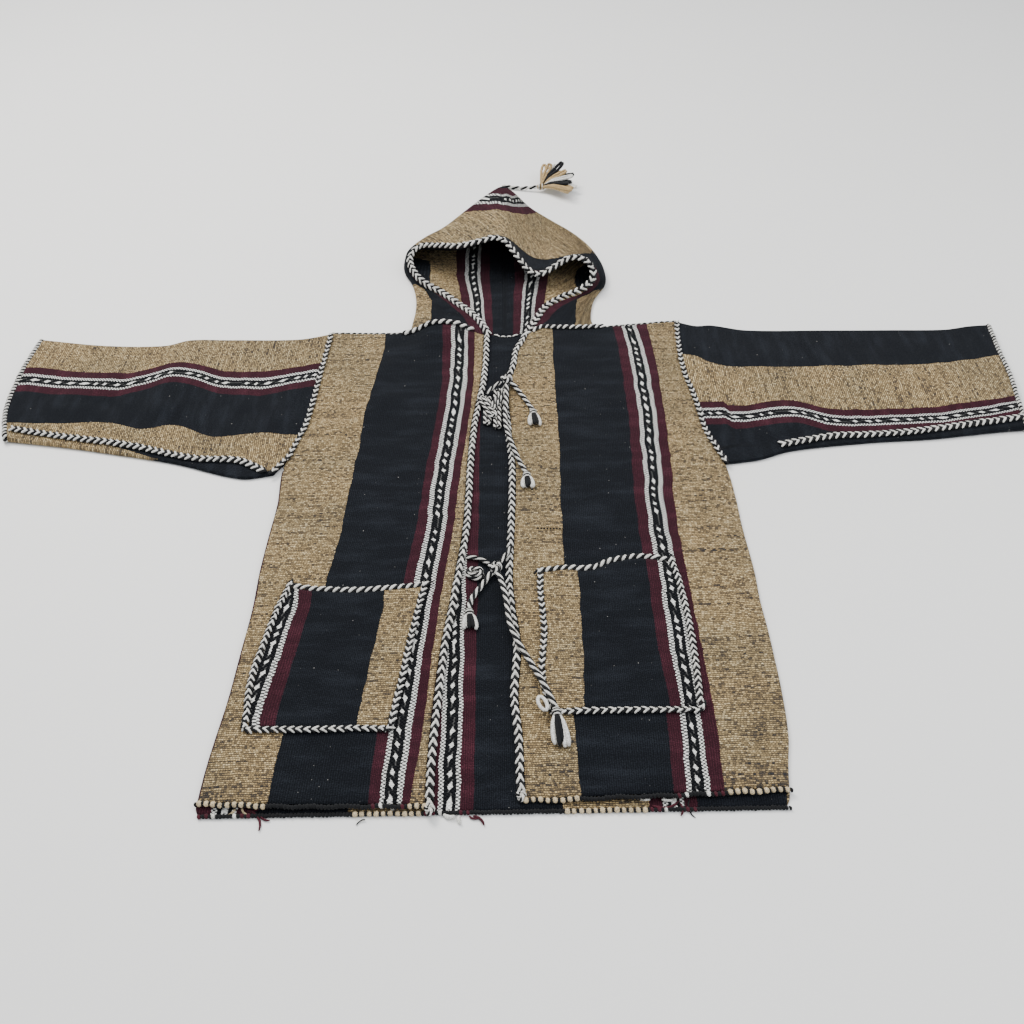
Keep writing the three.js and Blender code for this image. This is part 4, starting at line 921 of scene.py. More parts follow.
def route_points(points):
    """The route's own curve, thinned or refined to between ROUTE_FEW and ROUTE_MANY points."""
    smooth, _ = resample(vectors(points), 6.0)
    while len(smooth) > ROUTE_MANY:
        smooth = smooth[::2] if len(smooth) % 2 else smooth[:-1:2] + [smooth[-1]]
    if len(smooth) < ROUTE_FEW:
        smooth, _ = resample(vectors(points), length_of(smooth) / (ROUTE_FEW + 1))
    return smooth


def free_cord(name, node, route, seed, tassel, **look):
    """A cord twisted along its own curve, for a tassel at its end; the tassel argument is not used."""
    smooth = route_points(route)
    yarns = Yarns()
    twist(yarns, smooth, TIE_CORD, seed, **look)
    cord = yarns.piece(name, node)
    place(smooth[0])
    length_of(smooth) / 1000
    [place(p) for p in smooth]


def knot_path(centre, width, length, height):
    """A trefoil: the cord passed twice through itself."""
    return [Vector((centre[0] + width * 0.115 * (math.sin(t) + 2 * math.sin(2 * t)),
                    centre[1] + length * 0.105 * (math.cos(t) - 2 * math.cos(2 * t)),
                    centre[2] - height * 0.24 * math.sin(3 * t))) for t in circle(40)]


def tie_knot(name, centre, node, seed):
    """A cord knotted over itself, with a smaller turn of it on top, round a dark core."""
    yarns = Yarns()
    twist(yarns, knot_path(centre, 19, 24, 13), 6.2, seed, closed=True, pitch=16)
    middle = Vector(centre)
    on_top = middle + UP * 1.4
    twist(yarns, [Matrix.Rotation(0.9, 3, "Z") @ (p - middle) * 0.8 + on_top for p in knot_path(centre, 17, 19, 9)],
          4.6, seed + 5, closed=True, pitch=13)
    yarns.strand([middle + Vector((0, y, -1)) for y in (-5, 5)], 4.0, BLACK_YARN, sides=8)
    return yarns.piece(name, node)


def tie_tassel(name, route, end, node, seed):
    """A wrapped head of five rings and three fat folded yarns: white, black, white."""
    rng = random.Random(seed)
    start = Vector(route[-1])
    flat = Vector((end[0], end[1], 0))
    forward, aside = flat.normalized(), Vector((-flat.y, flat.x, 0)).normalized()
    head = start + forward * 5.3
    yarns = Yarns()
    for k in range(5):
        ahead = -3.4 + 1.7 * k
        radius = 5.2 * math.sqrt(max(0.2, 1 - (ahead / 5.4) ** 2)) - 0.6
        ring = [head + forward * ahead + aside * (radius * math.cos(a)) + UP * (radius * math.sin(a))
                for a in circle(12)]
        yarns.strand(ring, 1.15, varied(BLACK_YARN if k in (1, 3) else WHITE_YARN, rng), sides=5, closed=True)
    yarns.strand([head - forward * 3.6, head + forward * 3.6], 3.6, GREY_YARN, sides=8)
    length = flat.length - 5
    drop = end[2] - head.z
    for k, tint, rise in ((-1, WHITE_YARN, 0), (0, BLACK_YARN, 1.6), (1, WHITE_YARN, 0)):
        for fork in (-1, 1):
            reach = length * (1 if k else 0.92) * rng.uniform(0.84, 1.03)
            path, radii = [], []
            swerve = rng.uniform(-1.2, 1.2)
            for part, spread, fat in ((0.06, 0.3, 1.9), (0.3, 0.8, 2.4), (0.6, 1.05, 2.6), (0.86, 1.1, 2.5),
                                      (1, 0.96, 1.7)):
                aside_by = (4.9 * k + 1.9 * fork) * spread + swerve * part
                path.append(head + forward * (reach * part) + aside * aside_by + UP * (drop * part + rise))
                radii.append(fat)
            yarns.strand(path, radii, varied(tint, rng), sides=8)
    # a loose loop of yarn beside the others
    for x, y, height, width, run in TIE_TAILS.get(node, ()):
        ring = [Vector((x + width * math.cos(a) - run * 0.3 * math.sin(a), y + run * math.sin(a), height))
                for a in circle(10)]
        yarns.strand(ring, 2.1, WHITE_YARN, sides=8, closed=True)
    return yarns.piece(name, node)


def tie_loop(name, node, centre, width, length, turn, seed):
    """A hanging loop of cord with a slacker one laid over it."""
    yarns = Yarns()
    odd = seed % 2
    own_scale, slack_scale, way = (0.92, 0.78, 1) if odd else (1, 0.6, -1)
    for scale, swing, rise, thick in ((own_scale, 0, 0, TIE_CORD - 0.8),
                                      (slack_scale, LOOP_SWING, LOOP_LIFT, TIE_CORD - 1.6)):
        radius, run = (width - TIE_CORD) / 2, length * scale / 2 - width / 2
        ring = [Vector((radius * math.cos(a), run + radius * math.sin(a), 0)) for a in circle(10)[:6]]
        ring += [Vector((-p.x, -p.y, 0)) for p in ring]
        bowed = [p + Vector((-way * LOOP_BOW * math.cos(p.y / length * math.pi), 0, 0)) for p in ring]
        spun = Matrix.Rotation(turn + swing * way, 3, "Z")
        laid = [spun @ p + Vector(centre) + Vector((0, (1 - scale) * length / 2, rise)) for p in bowed]
        twist(yarns, laid, thick, seed + rise, closed=True, pitch=22)
    return yarns.piece(name, node)


for tie_name, tie in TIES.items():
    for end_name, (route, end) in tie["ends"].items():
        seed = len(route) * 7 + len(tie_name)
        own = f"{tie_name}_{end_name}"
        tassel = tie_tassel(f"{own}_tassel", route, end, f"tie_{own}_tassel", seed)
        free_cord(f"{own}_cord", f"tie_{own}_cord", route, seed + 1, tassel)
    tie_knot(f"{tie_name}_knot", tie["knot"], f"tie_{tie_name}_knot", 31 + len(tie_name))
    for i, route in enumerate(tie["bridges"]):
        yarns = Yarns()
        twist(yarns, vectors(route), TIE_CORD - 1.4, 41 + i)
        yarns.piece(f"{tie_name}_bridge_{i + 1}", f"tie_{tie_name}_bridge_{i + 1}")
    for i, (*centre, width, length, turn) in enumerate(tie["loops"]):
        tie_loop(f"{tie_name}_loop_{i + 1}", f"tie_{tie_name}_loop_{i + 1}", centre, width, length, turn, 51 + i)


TASSEL_YARNS = {"t": TAN_YARN, "p": PALE_TAN, "w": WHITE_YARN, "k": BLACK_YARN}
FAN = "tptkwkwwktptkpwtpt"     # the fan's yarns from one side to the other
FAN_SWING, FAN_REACH = (-0.62, 1.42), 68
TASSEL_AT = Vector((75, 1287, 10))


def hood_tassel():
    """A fan of folded yarns, tan at both sides and black and white between, tied at the cord's end."""
    rng = random.Random(9)
    yarns = Yarns()
    centre = TASSEL_AT
    for k in range(7):
        shift = -6 + 2 * k
        radius = 5.6 * math.sqrt(max(0.15, 1 - (shift / 8.2) ** 2)) - 0.7
        ring = [centre + Vector((shift, radius * math.cos(a), radius * math.sin(a))) for a in circle(14)]
        yarns.strand(ring, 1.35, varied((TAN_YARN, WHITE_YARN, BLACK_YARN)[k % 3], rng), sides=5, closed=True)
    yarns.strand([centre - Vector((6, 0, 0)), centre + Vector((6, 0, 0))], 4.2, TAN_YARN, sides=8)
    for k, letter in enumerate(FAN):
        part = k / (len(FAN) - 1)
        swing = lerp(*FAN_SWING, part)
        rise = (0.6, 0.12, 0.36)[k % 3] * lerp(0.35, 1, part)
        reach = FAN_REACH * (1, 0.86, 0.94, 0.8)[k % 4]
        ahead = Vector((math.cos(swing), math.sin(swing), 0))
        aside = Vector((-ahead.y, ahead.x, 0))
        tip = centre + ahead * (reach * math.cos(rise))
        tip.z = max(4, centre.z + reach * math.sin(rise) * 0.85)
        middle_z = max(5, lerp(centre.z, tip.z, 0.5) + 5)
        tint = TASSEL_YARNS[letter]
        for fork in (-1, 1):
            path = [centre + ahead * 3]
            for along_fan, apart, up in ((0.3, 2.0, (middle_z - centre.z) * 0.7), (0.62, 3.8, middle_z - centre.z),
                                         (0.86, 3.0, (tip.z - centre.z) * 0.86 + 1.5)):
                path.append(centre + ahead * (reach * along_fan) + aside * (apart * fork) + UP * up)
            path.append(tip + aside * (0.8 * fork))
            points = [q + shaken(rng, 0.3) for q in resample(path, 3.6)[0]]
            yarns.strand(points, 2.9 if tint is BLACK_YARN else 2.6, varied(tint, rng))
    return yarns.piece("hood_tassel_yarns", "hood_tassel", "hem_yarn")


free_cord("hood_tassel_cord", "hood_cord", HOOD_CORD, 77, hood_tassel(), pitch=17, tints=(WHITE_YARN, BLACK_YARN))

# ---- body ----
LOWER_ROWS, UPPER_ROWS = 118, 78
FRONT_COLUMNS, BACK_COLUMNS, FOLD_COLUMNS = 64, 54, 7


def side_radius(half, y):
    return (front_height(half, side_x(half, y), y) - BACK_MID) / 2


def front_hem_y(half, u):
    return half["hem"] + HEM_RISE * u ** 3


def body_point(kind, half, u, row, rows=(LOWER_ROWS, UPPER_ROWS)):
    """A place on the front, the side fold or the back at u of its width, and its place in the stripes."""
    lower, upper_rows = rows
    upper = row > lower
    part = (row - lower) / upper_rows if upper else row / lower

    def row_y(hem, top):
        return lerp(UNDERARM, top, part) if upper else lerp(hem, UNDERARM, part)

    def settle(x_at, hem, top):
        x = x_at(row_y(hem, top(x_at(row_y(hem, SHOULDER)))))
        y = row_y(hem, top(x))
        return x_at(y), y

    def inset(side, y):
        return 0 if upper else side_radius(side, y)
    if kind == "front":
        def x_at(y):
            return lerp(edge_x(half, y), side_x(half, y) - half["sign"] * inset(half, y), u)
        x, y = settle(x_at, front_hem_y(half, u), top_front)
        return Vector((x, y, front_height(half, x, y))), (front_stripe(half, x, y), y)
    if kind == "back":
        def x_at(y):
            return lerp(side_x(RIGHT, y) + inset(RIGHT, y), side_x(LEFT, y) - inset(LEFT, y), u)
        x, y = settle(x_at, BACK_HEM, top_back)
        return Vector((x, y, BACK_MID)), (back_stripe(x, y), y)
    y = row_y(lerp(front_hem_y(half, 1), BACK_HEM, u), SHOULDER)
    radius = side_radius(half, y)
    angle = math.pi * u
    x = side_x(half, y) - half["sign"] * radius * (1 - math.sin(angle))
    return Vector((x, y, BACK_MID + radius * (1 + math.cos(angle)))), (SIDE_AT[half["sign"]], y)


def body():
    fronts, backs = shares(FRONT_COLUMNS), shares(BACK_COLUMNS)
    turns = shares(FOLD_COLUMNS + 1)[1:-1]
    columns = ([("front", RIGHT, u) for u in fronts] + [("fold", RIGHT, u) for u in turns]
               + [("back", None, u) for u in backs] + [("fold", LEFT, u) for u in reversed(turns)]
               + [("front", LEFT, u) for u in reversed(fronts)])
    rows = LOWER_ROWS + UPPER_ROWS + 1
    points, uvs = [], []
    for kind, half, u in columns:
        for row in range(rows):
            p, (across, up) = body_point(kind, half, u, row)
            points.append(p)
            # the left front's and fold's stripe count runs on from the back's by whole repeats
            uvs.append((across - 4 * REPEAT if half is LEFT else across, up))
    cells = []
    for i in range(len(columns) - 1):
        folded = columns[i][0] == "fold" or columns[i + 1][0] == "fold"
        for row in range(LOWER_ROWS if folded else rows - 1):
            a, b = i * rows + row, (i + 1) * rows + row
            cells.append((a, a + 1, b + 1, b))
    return cloth("striped_body", "body", points, uvs, cells)


body_piece = body()

# ---- sleeves ----
SLEEVE_RINGS, SLEEVE_COLUMNS = 96, 62


def head_x(half, y):
    start, spread = half["gusset"]
    return side_x(half, y) + half["sign"] * (SEAM_GAP + spread * max(0, start - y))


def sleeve_sides(half, s):
    return along(half["sleeve"], "s", s, "near"), along(half["sleeve"], "s", s, "far")


def sleeve_ends(half, w):
    """The sleeve's x at the armhole and at the cuff, at w of its width."""
    head_y = lerp(half["sleeve"][0]["near"], half["sleeve"][0]["far"], w)
    return head_x(half, head_y), along(half["cuff"], "w", w, "x")


def sleeve_plan(half, s, w):
    return lerp(*sleeve_ends(half, w), s), lerp(*sleeve_sides(half, s), w)


def sleeve_height(half, s, w):
    x, y = sleeve_plan(half, s, w)
    dome = math.sin(math.pi * clamp(w))
    rest = lerp(SLEEVE_EDGE_MID, CUFF_EDGE_MID, s ** 3)
    start = min(s / 0.1, 1)
    loose = (ridges(half["sleeve_folds"], x, y) + ridges(SLEEVE_CREASES[half["name"]], x, y)
             + LOOSE * unevenness(x, y))
    return rest + along(half["sleeve"], "s", s, "loft") * dome + start * dome * loose


def sleeve_ring(half, s, floor=BACK_MID, extra=0.0, across=SLEEVE_COLUMNS, turns=6):
    """Once round the sleeve at s of its length: over the top, down the far side, back underneath."""
    points, uvs = [], []
    near, far = sleeve_sides(half, s)
    span = far - near

    def radius(w):
        return (sleeve_height(half, s, w) + extra - floor) / 2

    def add(w, inset, z, upper):
        x, y = sleeve_plan(half, s, w)
        points.append(Vector((x, y + inset, z)))
        uvs.append((sleeve_stripe(half, s, x, y + inset, upper), abs(x)))
    ws = [clamp(w, radius(0) / span, 1 - radius(1) / span) for w in shares(across)]
    for w in ws:
        add(w, 0, sleeve_height(half, s, w) + extra, True)
    for k in range(1, turns):
        r, angle = radius(1), math.pi * k / turns
        add(1, -r * (1 - math.sin(angle)), floor + r * (1 + math.cos(angle)), False)
    for w in reversed(ws):
        add(w, 0, floor, False)
    for k in range(1, turns):
        r, angle = radius(0), math.pi * k / turns
        add(0, r * (1 - math.sin(angle)), floor + r * (1 - math.cos(angle)), False)
    return points, uvs


def sleeve(half):
    points, uvs = [], []
    for s in shares(SLEEVE_RINGS):
        ring, ring_uvs = sleeve_ring(half, s)
        points += ring
        uvs += ring_uvs
    size = len(ring)
    cells = []
    for i in range(SLEEVE_RINGS):
        for k in range(size):
            a, b = i * size + k, (i + 1) * size + k
            c, d = i * size + (k + 1) % size, (i + 1) * size + (k + 1) % size
            cells.append((a, b, d, c) if half["sign"] > 0 else (a, c, d, b))
    return cloth("striped_sleeve", "sleeve", points, uvs, cells, half)


sleeve_pieces = {half["name"]: sleeve(half) for half in (RIGHT, LEFT)}

# ---- hood ----
HOOD_UPPER, HOOD_TURN, HOOD_UNDER, HOOD_FINE = 34, 6, 22, 6
# distances across the hood's cloth: band and black begin so far from the back seam, wine from the rim
HOOD_BAND, HOOD_BLACK, HOOD_WINE = 68, 145, 14
HOOD_COUNT = 78       # the place in the repeat at the back seam
WIDE_TURN = 146       # an outer fold beyond this shows the black


def rim_point(index):
    rib = picked(HOOD_RIBS, index, False)
    return Vector((rib["rimX"], rib["rimY"], rib["rimZ"]))


def outline_normal(index):
    before, after = picked(HOOD_RIBS, index - 1, False), picked(HOOD_RIBS, index + 1, False)
    tangent = Vector((after["outX"] - before["outX"], after["outY"] - before["outY"], 0)).normalized()
    return Vector((-tangent.y, tangent.x, 0))


def rim_to_cloth(index):
    rib = HOOD_RIBS[index]
    tangent = (rim_point(index + 1) - rim_point(index - 1)).normalized()
    slope = (Vector((rib["outX"], rib["outY"], rib["fold"])) - rim_point(index)).normalized()
    slope.z -= RIM_DROP * (rib["steep"] - 1)
    return (slope - tangent * slope.dot(tangent)).normalized()


def hood_rib(index):
    """Places along a rib: from the rim over the top, round the outer fold, underneath to the back seam."""
    rib = HOOD_RIBS[index]
    neck = index in (0, len(HOOD_RIBS) - 1)
    half = RIGHT if rib["outX"] < 0 else LEFT

    def neck_height(x):
        return front_height(half, x, top_front(x))
    fold = neck_height(rib["outX"]) if neck else rib["fold"]
    radius = (fold - BACK_MID) / 2
    outward = outline_normal(index)
    out = Vector((rib["outX"], rib["outY"], 0))
    turn_point = out - outward * radius
    clear = RIM_BRAID[0] / 2 - 0.4 + (NECK_RIB_SHORTER if neck else 0)
    start = rim_point(index) + rim_to_cloth(index) * clear
    points = []
    for t in [share ** 1.25 for share in shares(HOOD_UPPER)]:
        p = start.lerp(turn_point, t)
        if neck:
            points.append(Vector((p.x, top_front(p.x) + NECK_GAP, neck_height(p.x))))
            continue
        loose = math.sin(math.pi * t) * (ridges(HOOD_CREASES, p.x, p.y) + LOOSE * unevenness(p.x, p.y))
        p.z = fold + (start.z - fold) * (1 - t) ** rib["steep"] + loose
        points.append(p)
    for k in range(1, HOOD_TURN):
        angle = math.pi * k / HOOD_TURN
        p = out - outward * (radius * (1 - math.sin(angle)))
        if neck:
            p.y = top_front(rib["outX"]) + NECK_GAP
        p.z = BACK_MID + radius * (1 + math.cos(angle))
        points.append(p)
    for t in shares(HOOD_UNDER):
        p = turn_point.lerp(Vector((0, rib["spine"], 0)), t)
        if neck:
            p.y = top_back(p.x) + NECK_GAP
        p.z = BACK_MID
        points.append(p)
    return points


def hood_stripes(points, rib):
    """The stripe count at each place along a rib, from its distance to the rim or to the back seam."""
    reach = [0]
    for a, b in zip(points, points[1:]):
        reach.append(reach[-1] + (b - a).length)
    turn_at = HOOD_UPPER + HOOD_TURN // 2
    upper, whole, turn = reach[turn_at], reach[-1], rib["turn"]
    under = whole - upper
    band_end = HOOD_BAND / rib["spread"]
    if turn <= 100:
        band_end = min(band_end, under * HOOD_BAND / turn)
    own_end = lerp(band_end, under, min((HOOD_BLACK - HOOD_BAND) / max(turn - HOOD_BAND, 1), 1))
    black_start = lerp(own_end, min(band_end + rib["inside"], own_end), clamp((turn - WIDE_TURN) / 12))
    tan_start = max(rib["black"], rib["wine"] + 1)
    out = []
    for i, at in enumerate(reach):
        if i > turn_at and turn > WIDE_TURN:
            from_seam = between([0, band_end, black_start, under], [0, HOOD_BAND, HOOD_BLACK, turn], whole - at)
        elif i > turn_at:
            from_seam = between([0, band_end, under], [0, min(HOOD_BAND, turn), turn], whole - at)
        elif rib["black"] < upper:
            from_seam = HOOD_WIDTH - between([0, rib["wine"], tan_start, upper],
                                             [0, HOOD_WINE, HOOD_WIDTH - HOOD_BLACK, HOOD_WIDTH - turn], at)
        else:
            from_seam = HOOD_WIDTH - between([0, rib["wine"], upper], [0, HOOD_WINE, HOOD_WIDTH - turn], at)
        out.append(HOOD_COUNT + from_seam)
    return out


def hood_count(at):
    """How the stripes lie along a rib: black behind the rim, the fold's count, the spread inside."""
    last = len(HOOD_RIBS) - 1
    i = min(int(at), last - 1)
    rib, after, t = HOOD_RIBS[i], HOOD_RIBS[i + 1], at - i
    up_hood = min(min(at, last - at) / 6, 1)
    count = {key: lerp(rib[key], after[key], t) for key in ("black", "turn")}
    count["spread"] = lerp(1.22, 0.86, up_hood)
    count["inside"] = lerp(60, 40, up_hood)
    count["wine"] = between([0, 3, 6, 18, 20, 24, 26], [22, 12, 9, 9, 19, 19, 11], at)
    return count


def hood():
    ribs = [hood_rib(i) for i in range(len(HOOD_RIBS))]
    last = len(ribs) - 1
    fine, rows = [], []
    for i in range(last):
        around = [picked(ribs, i + j, False) for j in (-1, 0, 1, 2)]
        for t in shares(HOOD_FINE)[:-1]:
            fine.append([catmull(*quad, t) for quad in zip(*around)])
            rows.append(hood_count(i + t))
    fine.append(ribs[last])
    rows.append(hood_count(last))
    size = len(fine[0])
    stripes = [hood_stripes(points, rib) for points, rib in zip(fine, rows)]
    ups = [[0.0] * size]
    for a, b in zip(fine, fine[1:]):
        ups.append([u + (q - p).length for u, p, q in zip(ups[-1], a, b)])
    middle = len(fine) - 1
    points = [p for rib in fine for p in rib]
    uvs = [(s, u) for stripe, up in zip(stripes, ups) for s, u in zip(stripe, up)]

    def at(i, j):
        """The place j of rib i; the ribs of both sides share those on the back seam."""
        return (min(i, middle - i) if j == size - 1 else i) * size + j
    cells = [(at(i, j), at(i + 1, j), at(i + 1, j + 1), at(i, j + 1))
             for i in range(middle) for j in range(size - 1)]
    return cloth("striped_hood", "hood", points, uvs, cells)


hood_piece = hood()

RIM_TURN = 2.2        # how far the rim's braid turns from the cloth to the viewer


def hood_rim():
    path, ways = zip(*[(rim_point(i), rim_to_cloth(i)) for i in range(len(HOOD_RIBS))])

    def across(at, forward):
        i = min(int(at), len(ways) - 2)
        shown = forward.cross(Vector((0, -0.6, 0.8)))
        cloth_way = ways[i].lerp(ways[i + 1], at - i)
        return shown * RIM_TURN + cloth_way * math.copysign(1, shown.dot(cloth_way))
    yarns = Yarns()
    plait(yarns, path, across, RIM_BRAID, 5, pitch=11.4, share=0.57)
    return yarns.piece("plaited_hood_rim", "hood_rim_braid")


hood_rim()

# ---- pockets ----
POCKET_GRID = 46


def pocket_point(half, a, b, grow=0.0):
    pocket = POCKETS[half["name"]]
    rows = pocket["rows"]
    y0 = lerp(rows[0]["y"], rows[-1]["y"], b)
    inset = EDGE_BRAID[0] / 2 + SEAM_GAP - grow
    outer = along(rows, "y", y0, "outer") - half["sign"] * inset
    inner = along(rows, "y", y0, "inner") + half["sign"] * inset
    y = y0 + along(pocket["mouth"], "a", a, "y") * b ** 3 + lerp(inset, -inset, b)
    return lerp(inner, outer, a), y


def pocket(half):
    points, uvs, cells = [], [], []
    size = POCKET_GRID + 1
    for i, a in enumerate(shares(POCKET_GRID)):
        for j, b in enumerate(shares(POCKET_GRID)):
            x, y = pocket_point(half, a, b, grow=2.0)
            points.append(Vector((x, y, front_height(half, x, y) + CLOTH + LAY_GAP * 0.6)))
            uvs.append((pocket_stripe(half, x, y), y + 3))
            here, there = i * size + j, (i + 1) * size + j
            if i < POCKET_GRID and j < POCKET_GRID:
                cells.append((here, there, there + 1, here + 1) if half is LEFT else
                             (here, here + 1, there + 1, there))
    return cloth("striped_pocket", "pocket", points, uvs, cells, half)


pocket_pieces = {half["name"]: pocket(half) for half in (RIGHT, LEFT)}


def on_front(half, x, y, height):
    return Vector((x, y, front_height(half, x, y) + CLOTH / 2 + FRONT_CLEAR + height / 2))


MOUTH_WIDTH = 8.4


def pocket_braid(half):
    """Three sides plaited, the mouth overcast."""
    steps = shares(12)
    mouth = [(1 - k, 1) for k in steps]
    sides = [(0, 1 - k) for k in steps] + [(k, 0) for k in steps[1:]] + [(1, k) for k in steps[1:]]
    height = POCKET_BRAID[1]

    def path(places):
        plan = [pocket_point(half, a, b, EDGE_BRAID[0] / 2 + SEAM_GAP) for a, b in places]
        return [on_front(half, x, y, height + 1) for x, y in plan]
    yarns = Yarns()
    plait(yarns, path(sides), level, POCKET_BRAID, 11, pitch=9)
    whip(yarns, path(mouth), level, (MOUTH_WIDTH, height), 12, pitch=10, slant=-1.05)
    return yarns.piece("plaited_pocket_edge", "pocket_braid", half=half)


# ---- edges and seams ----
def spaced(start, stop, pitch):
    return [lerp(start, stop, t) for t in shares(max(2, round(abs(stop - start) / pitch)))]


def sewn(half, name, node, sew, path, size, seed, across_at=level, **look):
    """An edge of one half sewn over with yarn along its path."""
    yarns = Yarns()
    sew(yarns, path, across_at, size, seed + half["sign"], **look)
    return yarns.piece(name, node, half=half)


DARN = {"x": (43, 75), "y": 385.5, "pitch": 4}       # a row of dark darning on the left front


def front_braid(half):
    rows = (40, 28)        # coarser than the cloth's
    shift = Vector((-half["sign"] * (EDGE_BRAID[0] / 2 + 0.1), 0, EDGE_BRAID[1] / 2 - 1.5))
    path = [body_point("front", half, 0, row, rows)[0] + shift for row in range(sum(rows) + 1)]
    path[0].y = half["braid_start"]
    path[-1] = path[-1].lerp(path[-2], 0.3)
    yarns = Yarns()
    plait(yarns, path, level, EDGE_BRAID, 21 + half["sign"], pitch=12, share=0.58)
    for x in spaced(*DARN["x"], DARN["pitch"]) if half is LEFT else ():
        on_cloth = on_front(half, x, DARN["y"], 1.4)
        yarns.stitch(on_cloth - Vector((1.2, 0, 0)), on_cloth + Vector((1.2, 0, 0)), 0.5, 0.9, BLACK_YARN)
    return yarns.piece("plaited_front_edge", "front_braid", half=half)


BACK_NECK_STITCHES = ((-14, 818, -5, 813), (-3, 812, 4, 811.5), (6, 811.5, 13, 812), (15, 812.5, 24, 817))


def neck_braid(half):
    lift = Vector((0, NECK_GAP / 2, CLOTH / 2 + SEAM_GAP + SEAM_BRAID[1] / 2))
    edge = [body_point("front", half, u, LOWER_ROWS + UPPER_ROWS)[0] for u in shares(EDGE_STEPS)]
    path = [p + lift for p in edge if NECK_BRAID_INNER < abs(p.x) < NECK_SIDE + 8]
    yarns = Yarns()
    pitch, plump = (12, 1) if half is RIGHT else (10.5, 0.8)
    whip(yarns, path, level, SEAM_BRAID, 31 + half["sign"], pitch=pitch, slant=-0.9,
         tints=lambda p: (WHITE_YARN, BLACK_YARN, plump))
    for x0, y0, x1, y1 in BACK_NECK_STITCHES if half is RIGHT else ():
        yarns.stitch(Vector((x0, y0, 3)), Vector((x1, y1, 3)), 1.2, 1.3, WHITE_YARN)
    return yarns.piece("whipped_neck_seam", "neck_braid", half=half)


def shoulder_braid(half):
    width, height = SHOULDER_BRAID
    xs = [half["sign"] * away for away in spaced(NECK_SIDE + 12, SHOULDER_END, 12)]
    path = [Vector((x, top_front(x) + NECK_GAP + width / 2 - 0.6, height / 2 + 0.3)) for x in xs]
    return sewn(half, "whipped_shoulder", "shoulder_braid", whip, path, SHOULDER_BRAID, 41, pitch=9, slant=-1.1,
                tints=lambda p: (WHITE_YARN, BLACK_YARN, 0.85))


def armhole_braid(half):
    path = []
    for y in spaced(half["sleeve"][0]["far"] - 4, half["sleeve"][0]["near"] + 4, 14):
        x = head_x(half, y)
        height = max(front_height(half, x, y), SLEEVE_EDGE_MID + SEAM_GAP)
        path.append(Vector((x, y, height + CLOTH / 2 + ARMHOLE_CLEAR + SEAM_BRAID[1] / 2)))
    return sewn(half, "plaited_armhole", "armhole_braid", plait, path, (9, SEAM_BRAID[1]), 51, pitch=11, share=0.52)


def on_sleeve(half, x, y, height):
    """The place for yarn on top of the sleeve's cloth, found step by step."""
    s = w = 0.5
    for _ in range(12):
        near, far = sleeve_sides(half, s)
        w = clamp((y - near) / (far - near))
        start, end = sleeve_ends(half, w)
        s = clamp((x - start) / (end - start))
    return Vector((x, y, sleeve_height(half, s, w) + CLOTH / 2 + SLEEVE_CLEAR + height / 2))


def sleeve_seam(half):
    seam = half["seam"]
    xs = spaced(seam[0]["x"], seam[-1]["x"], 14)
    path = [on_sleeve(half, x, along(seam, "x", x, "y"), SEAM_BRAID[1]) for x in xs]
    return sewn(half, "plaited_sleeve_seam", "sleeve_seam_braid", plait, path, (13, SEAM_BRAID[1]), 61, pitch=10,
                share=0.52)


def cuff_braid(half):
    width, height = CUFF_BRAID
    ring, _ = sleeve_ring(half, 1, height / 2 + 0.2, 0.6, across=22, turns=4)
    path = [p + Vector((half["sign"] * (width / 2 - 0.4), 0, 0)) for p in ring]
    return sewn(half, "whipped_cuff", "cuff_braid", whip, path, CUFF_BRAID, 71,
                across_at=lambda i, forward: Vector((1, 0, 0)), closed=True, pitch=7.2)


# x, y, height, heading in degrees, length, yarn and radius of each loose end
LOOSE_ENDS = {
    "right": ((-277, 0, 2, 250, 14, CREAM_YARN, 1.5), (-270, 1, 2, 285, 11, CREAM_YARN, 1.2),
              (-260, -3, 2, 330, 26, WINE_YARN, 1.4), (-264, -2, 2, 350, 17, WINE_YARN, 1.2),
              (-250, -7, 2, 300, 13, WINE_YARN, 1.2), (-122, 4, 6, 200, 9, WHITE_YARN, 2.6),
              (-119, 2, 6, 320, 8, WHITE_YARN, 2.2)),
    "left": ((146, 3, 4, 190, 16, WHITE_YARN, 1.7), (158, 2, 4, 350, 23, WHITE_YARN, 1.6),
             (148, -4, 3, 340, 31, WINE_YARN, 1.6), (176, -2, 3, 300, 14, WINE_YARN, 1.2),
             (186, 2, 3, 250, 21, BLACK_YARN, 0.8)),
    "back": ((-53, -12, 2, 200, 12, WHITE_YARN, 2.3), (-48, -12, 2, 250, 9, WHITE_YARN, 2.0),
             (-34, -12, 2, 350, 16, WINE_YARN, 1.5), (-38, -12, 2, 320, 11, WINE_YARN, 1.2),
             (-143, -14, 2, 180, 11, BLACK_YARN, 0.8)),
}


def hem_tints(stripe_at):
    """The two yarns and the plumpness of the hem's stitches, after the stripe they edge."""
    def tints(p):
        at = stripe_at(p) % REPEAT
        if at < WINE_AT or CHAIN_AT <= at < WHITE2_AT:
            return BLACK_YARN, BLACK_YARN, 0.9
        if at < WHITE_AT or WINE2_AT <= at < TAN_AT:
            return WINE_YARN, BLACK_YARN, 1
        if at < TAN_AT:
            return WHITE_YARN, BLACK_YARN, 1
        return CREAM_YARN, BLACK_YARN, 1.35
    return tints


def loose_ends(yarns, rows):
    """Frayed ends of yarn, bending down to the floor."""
    for x, y, z, heading, length, tint, radius in rows:
        path, at, way = [], Vector((x, y, z)), math.radians(heading)
        for k in range(6):
            path.append(at.copy())
            at += Vector((math.cos(way), math.sin(way), 0)) * (length / 5)
            at.z = max(radius + 0.3, z * (1 - k / 4))
            way += 0.28 if length % 2 else -0.28
        yarns.strand(path, [radius * f for f in (0.8, 1, 1, 1, 0.9, 0.5)], tint)


HEM_DROP = SEAM_GAP + 1.6


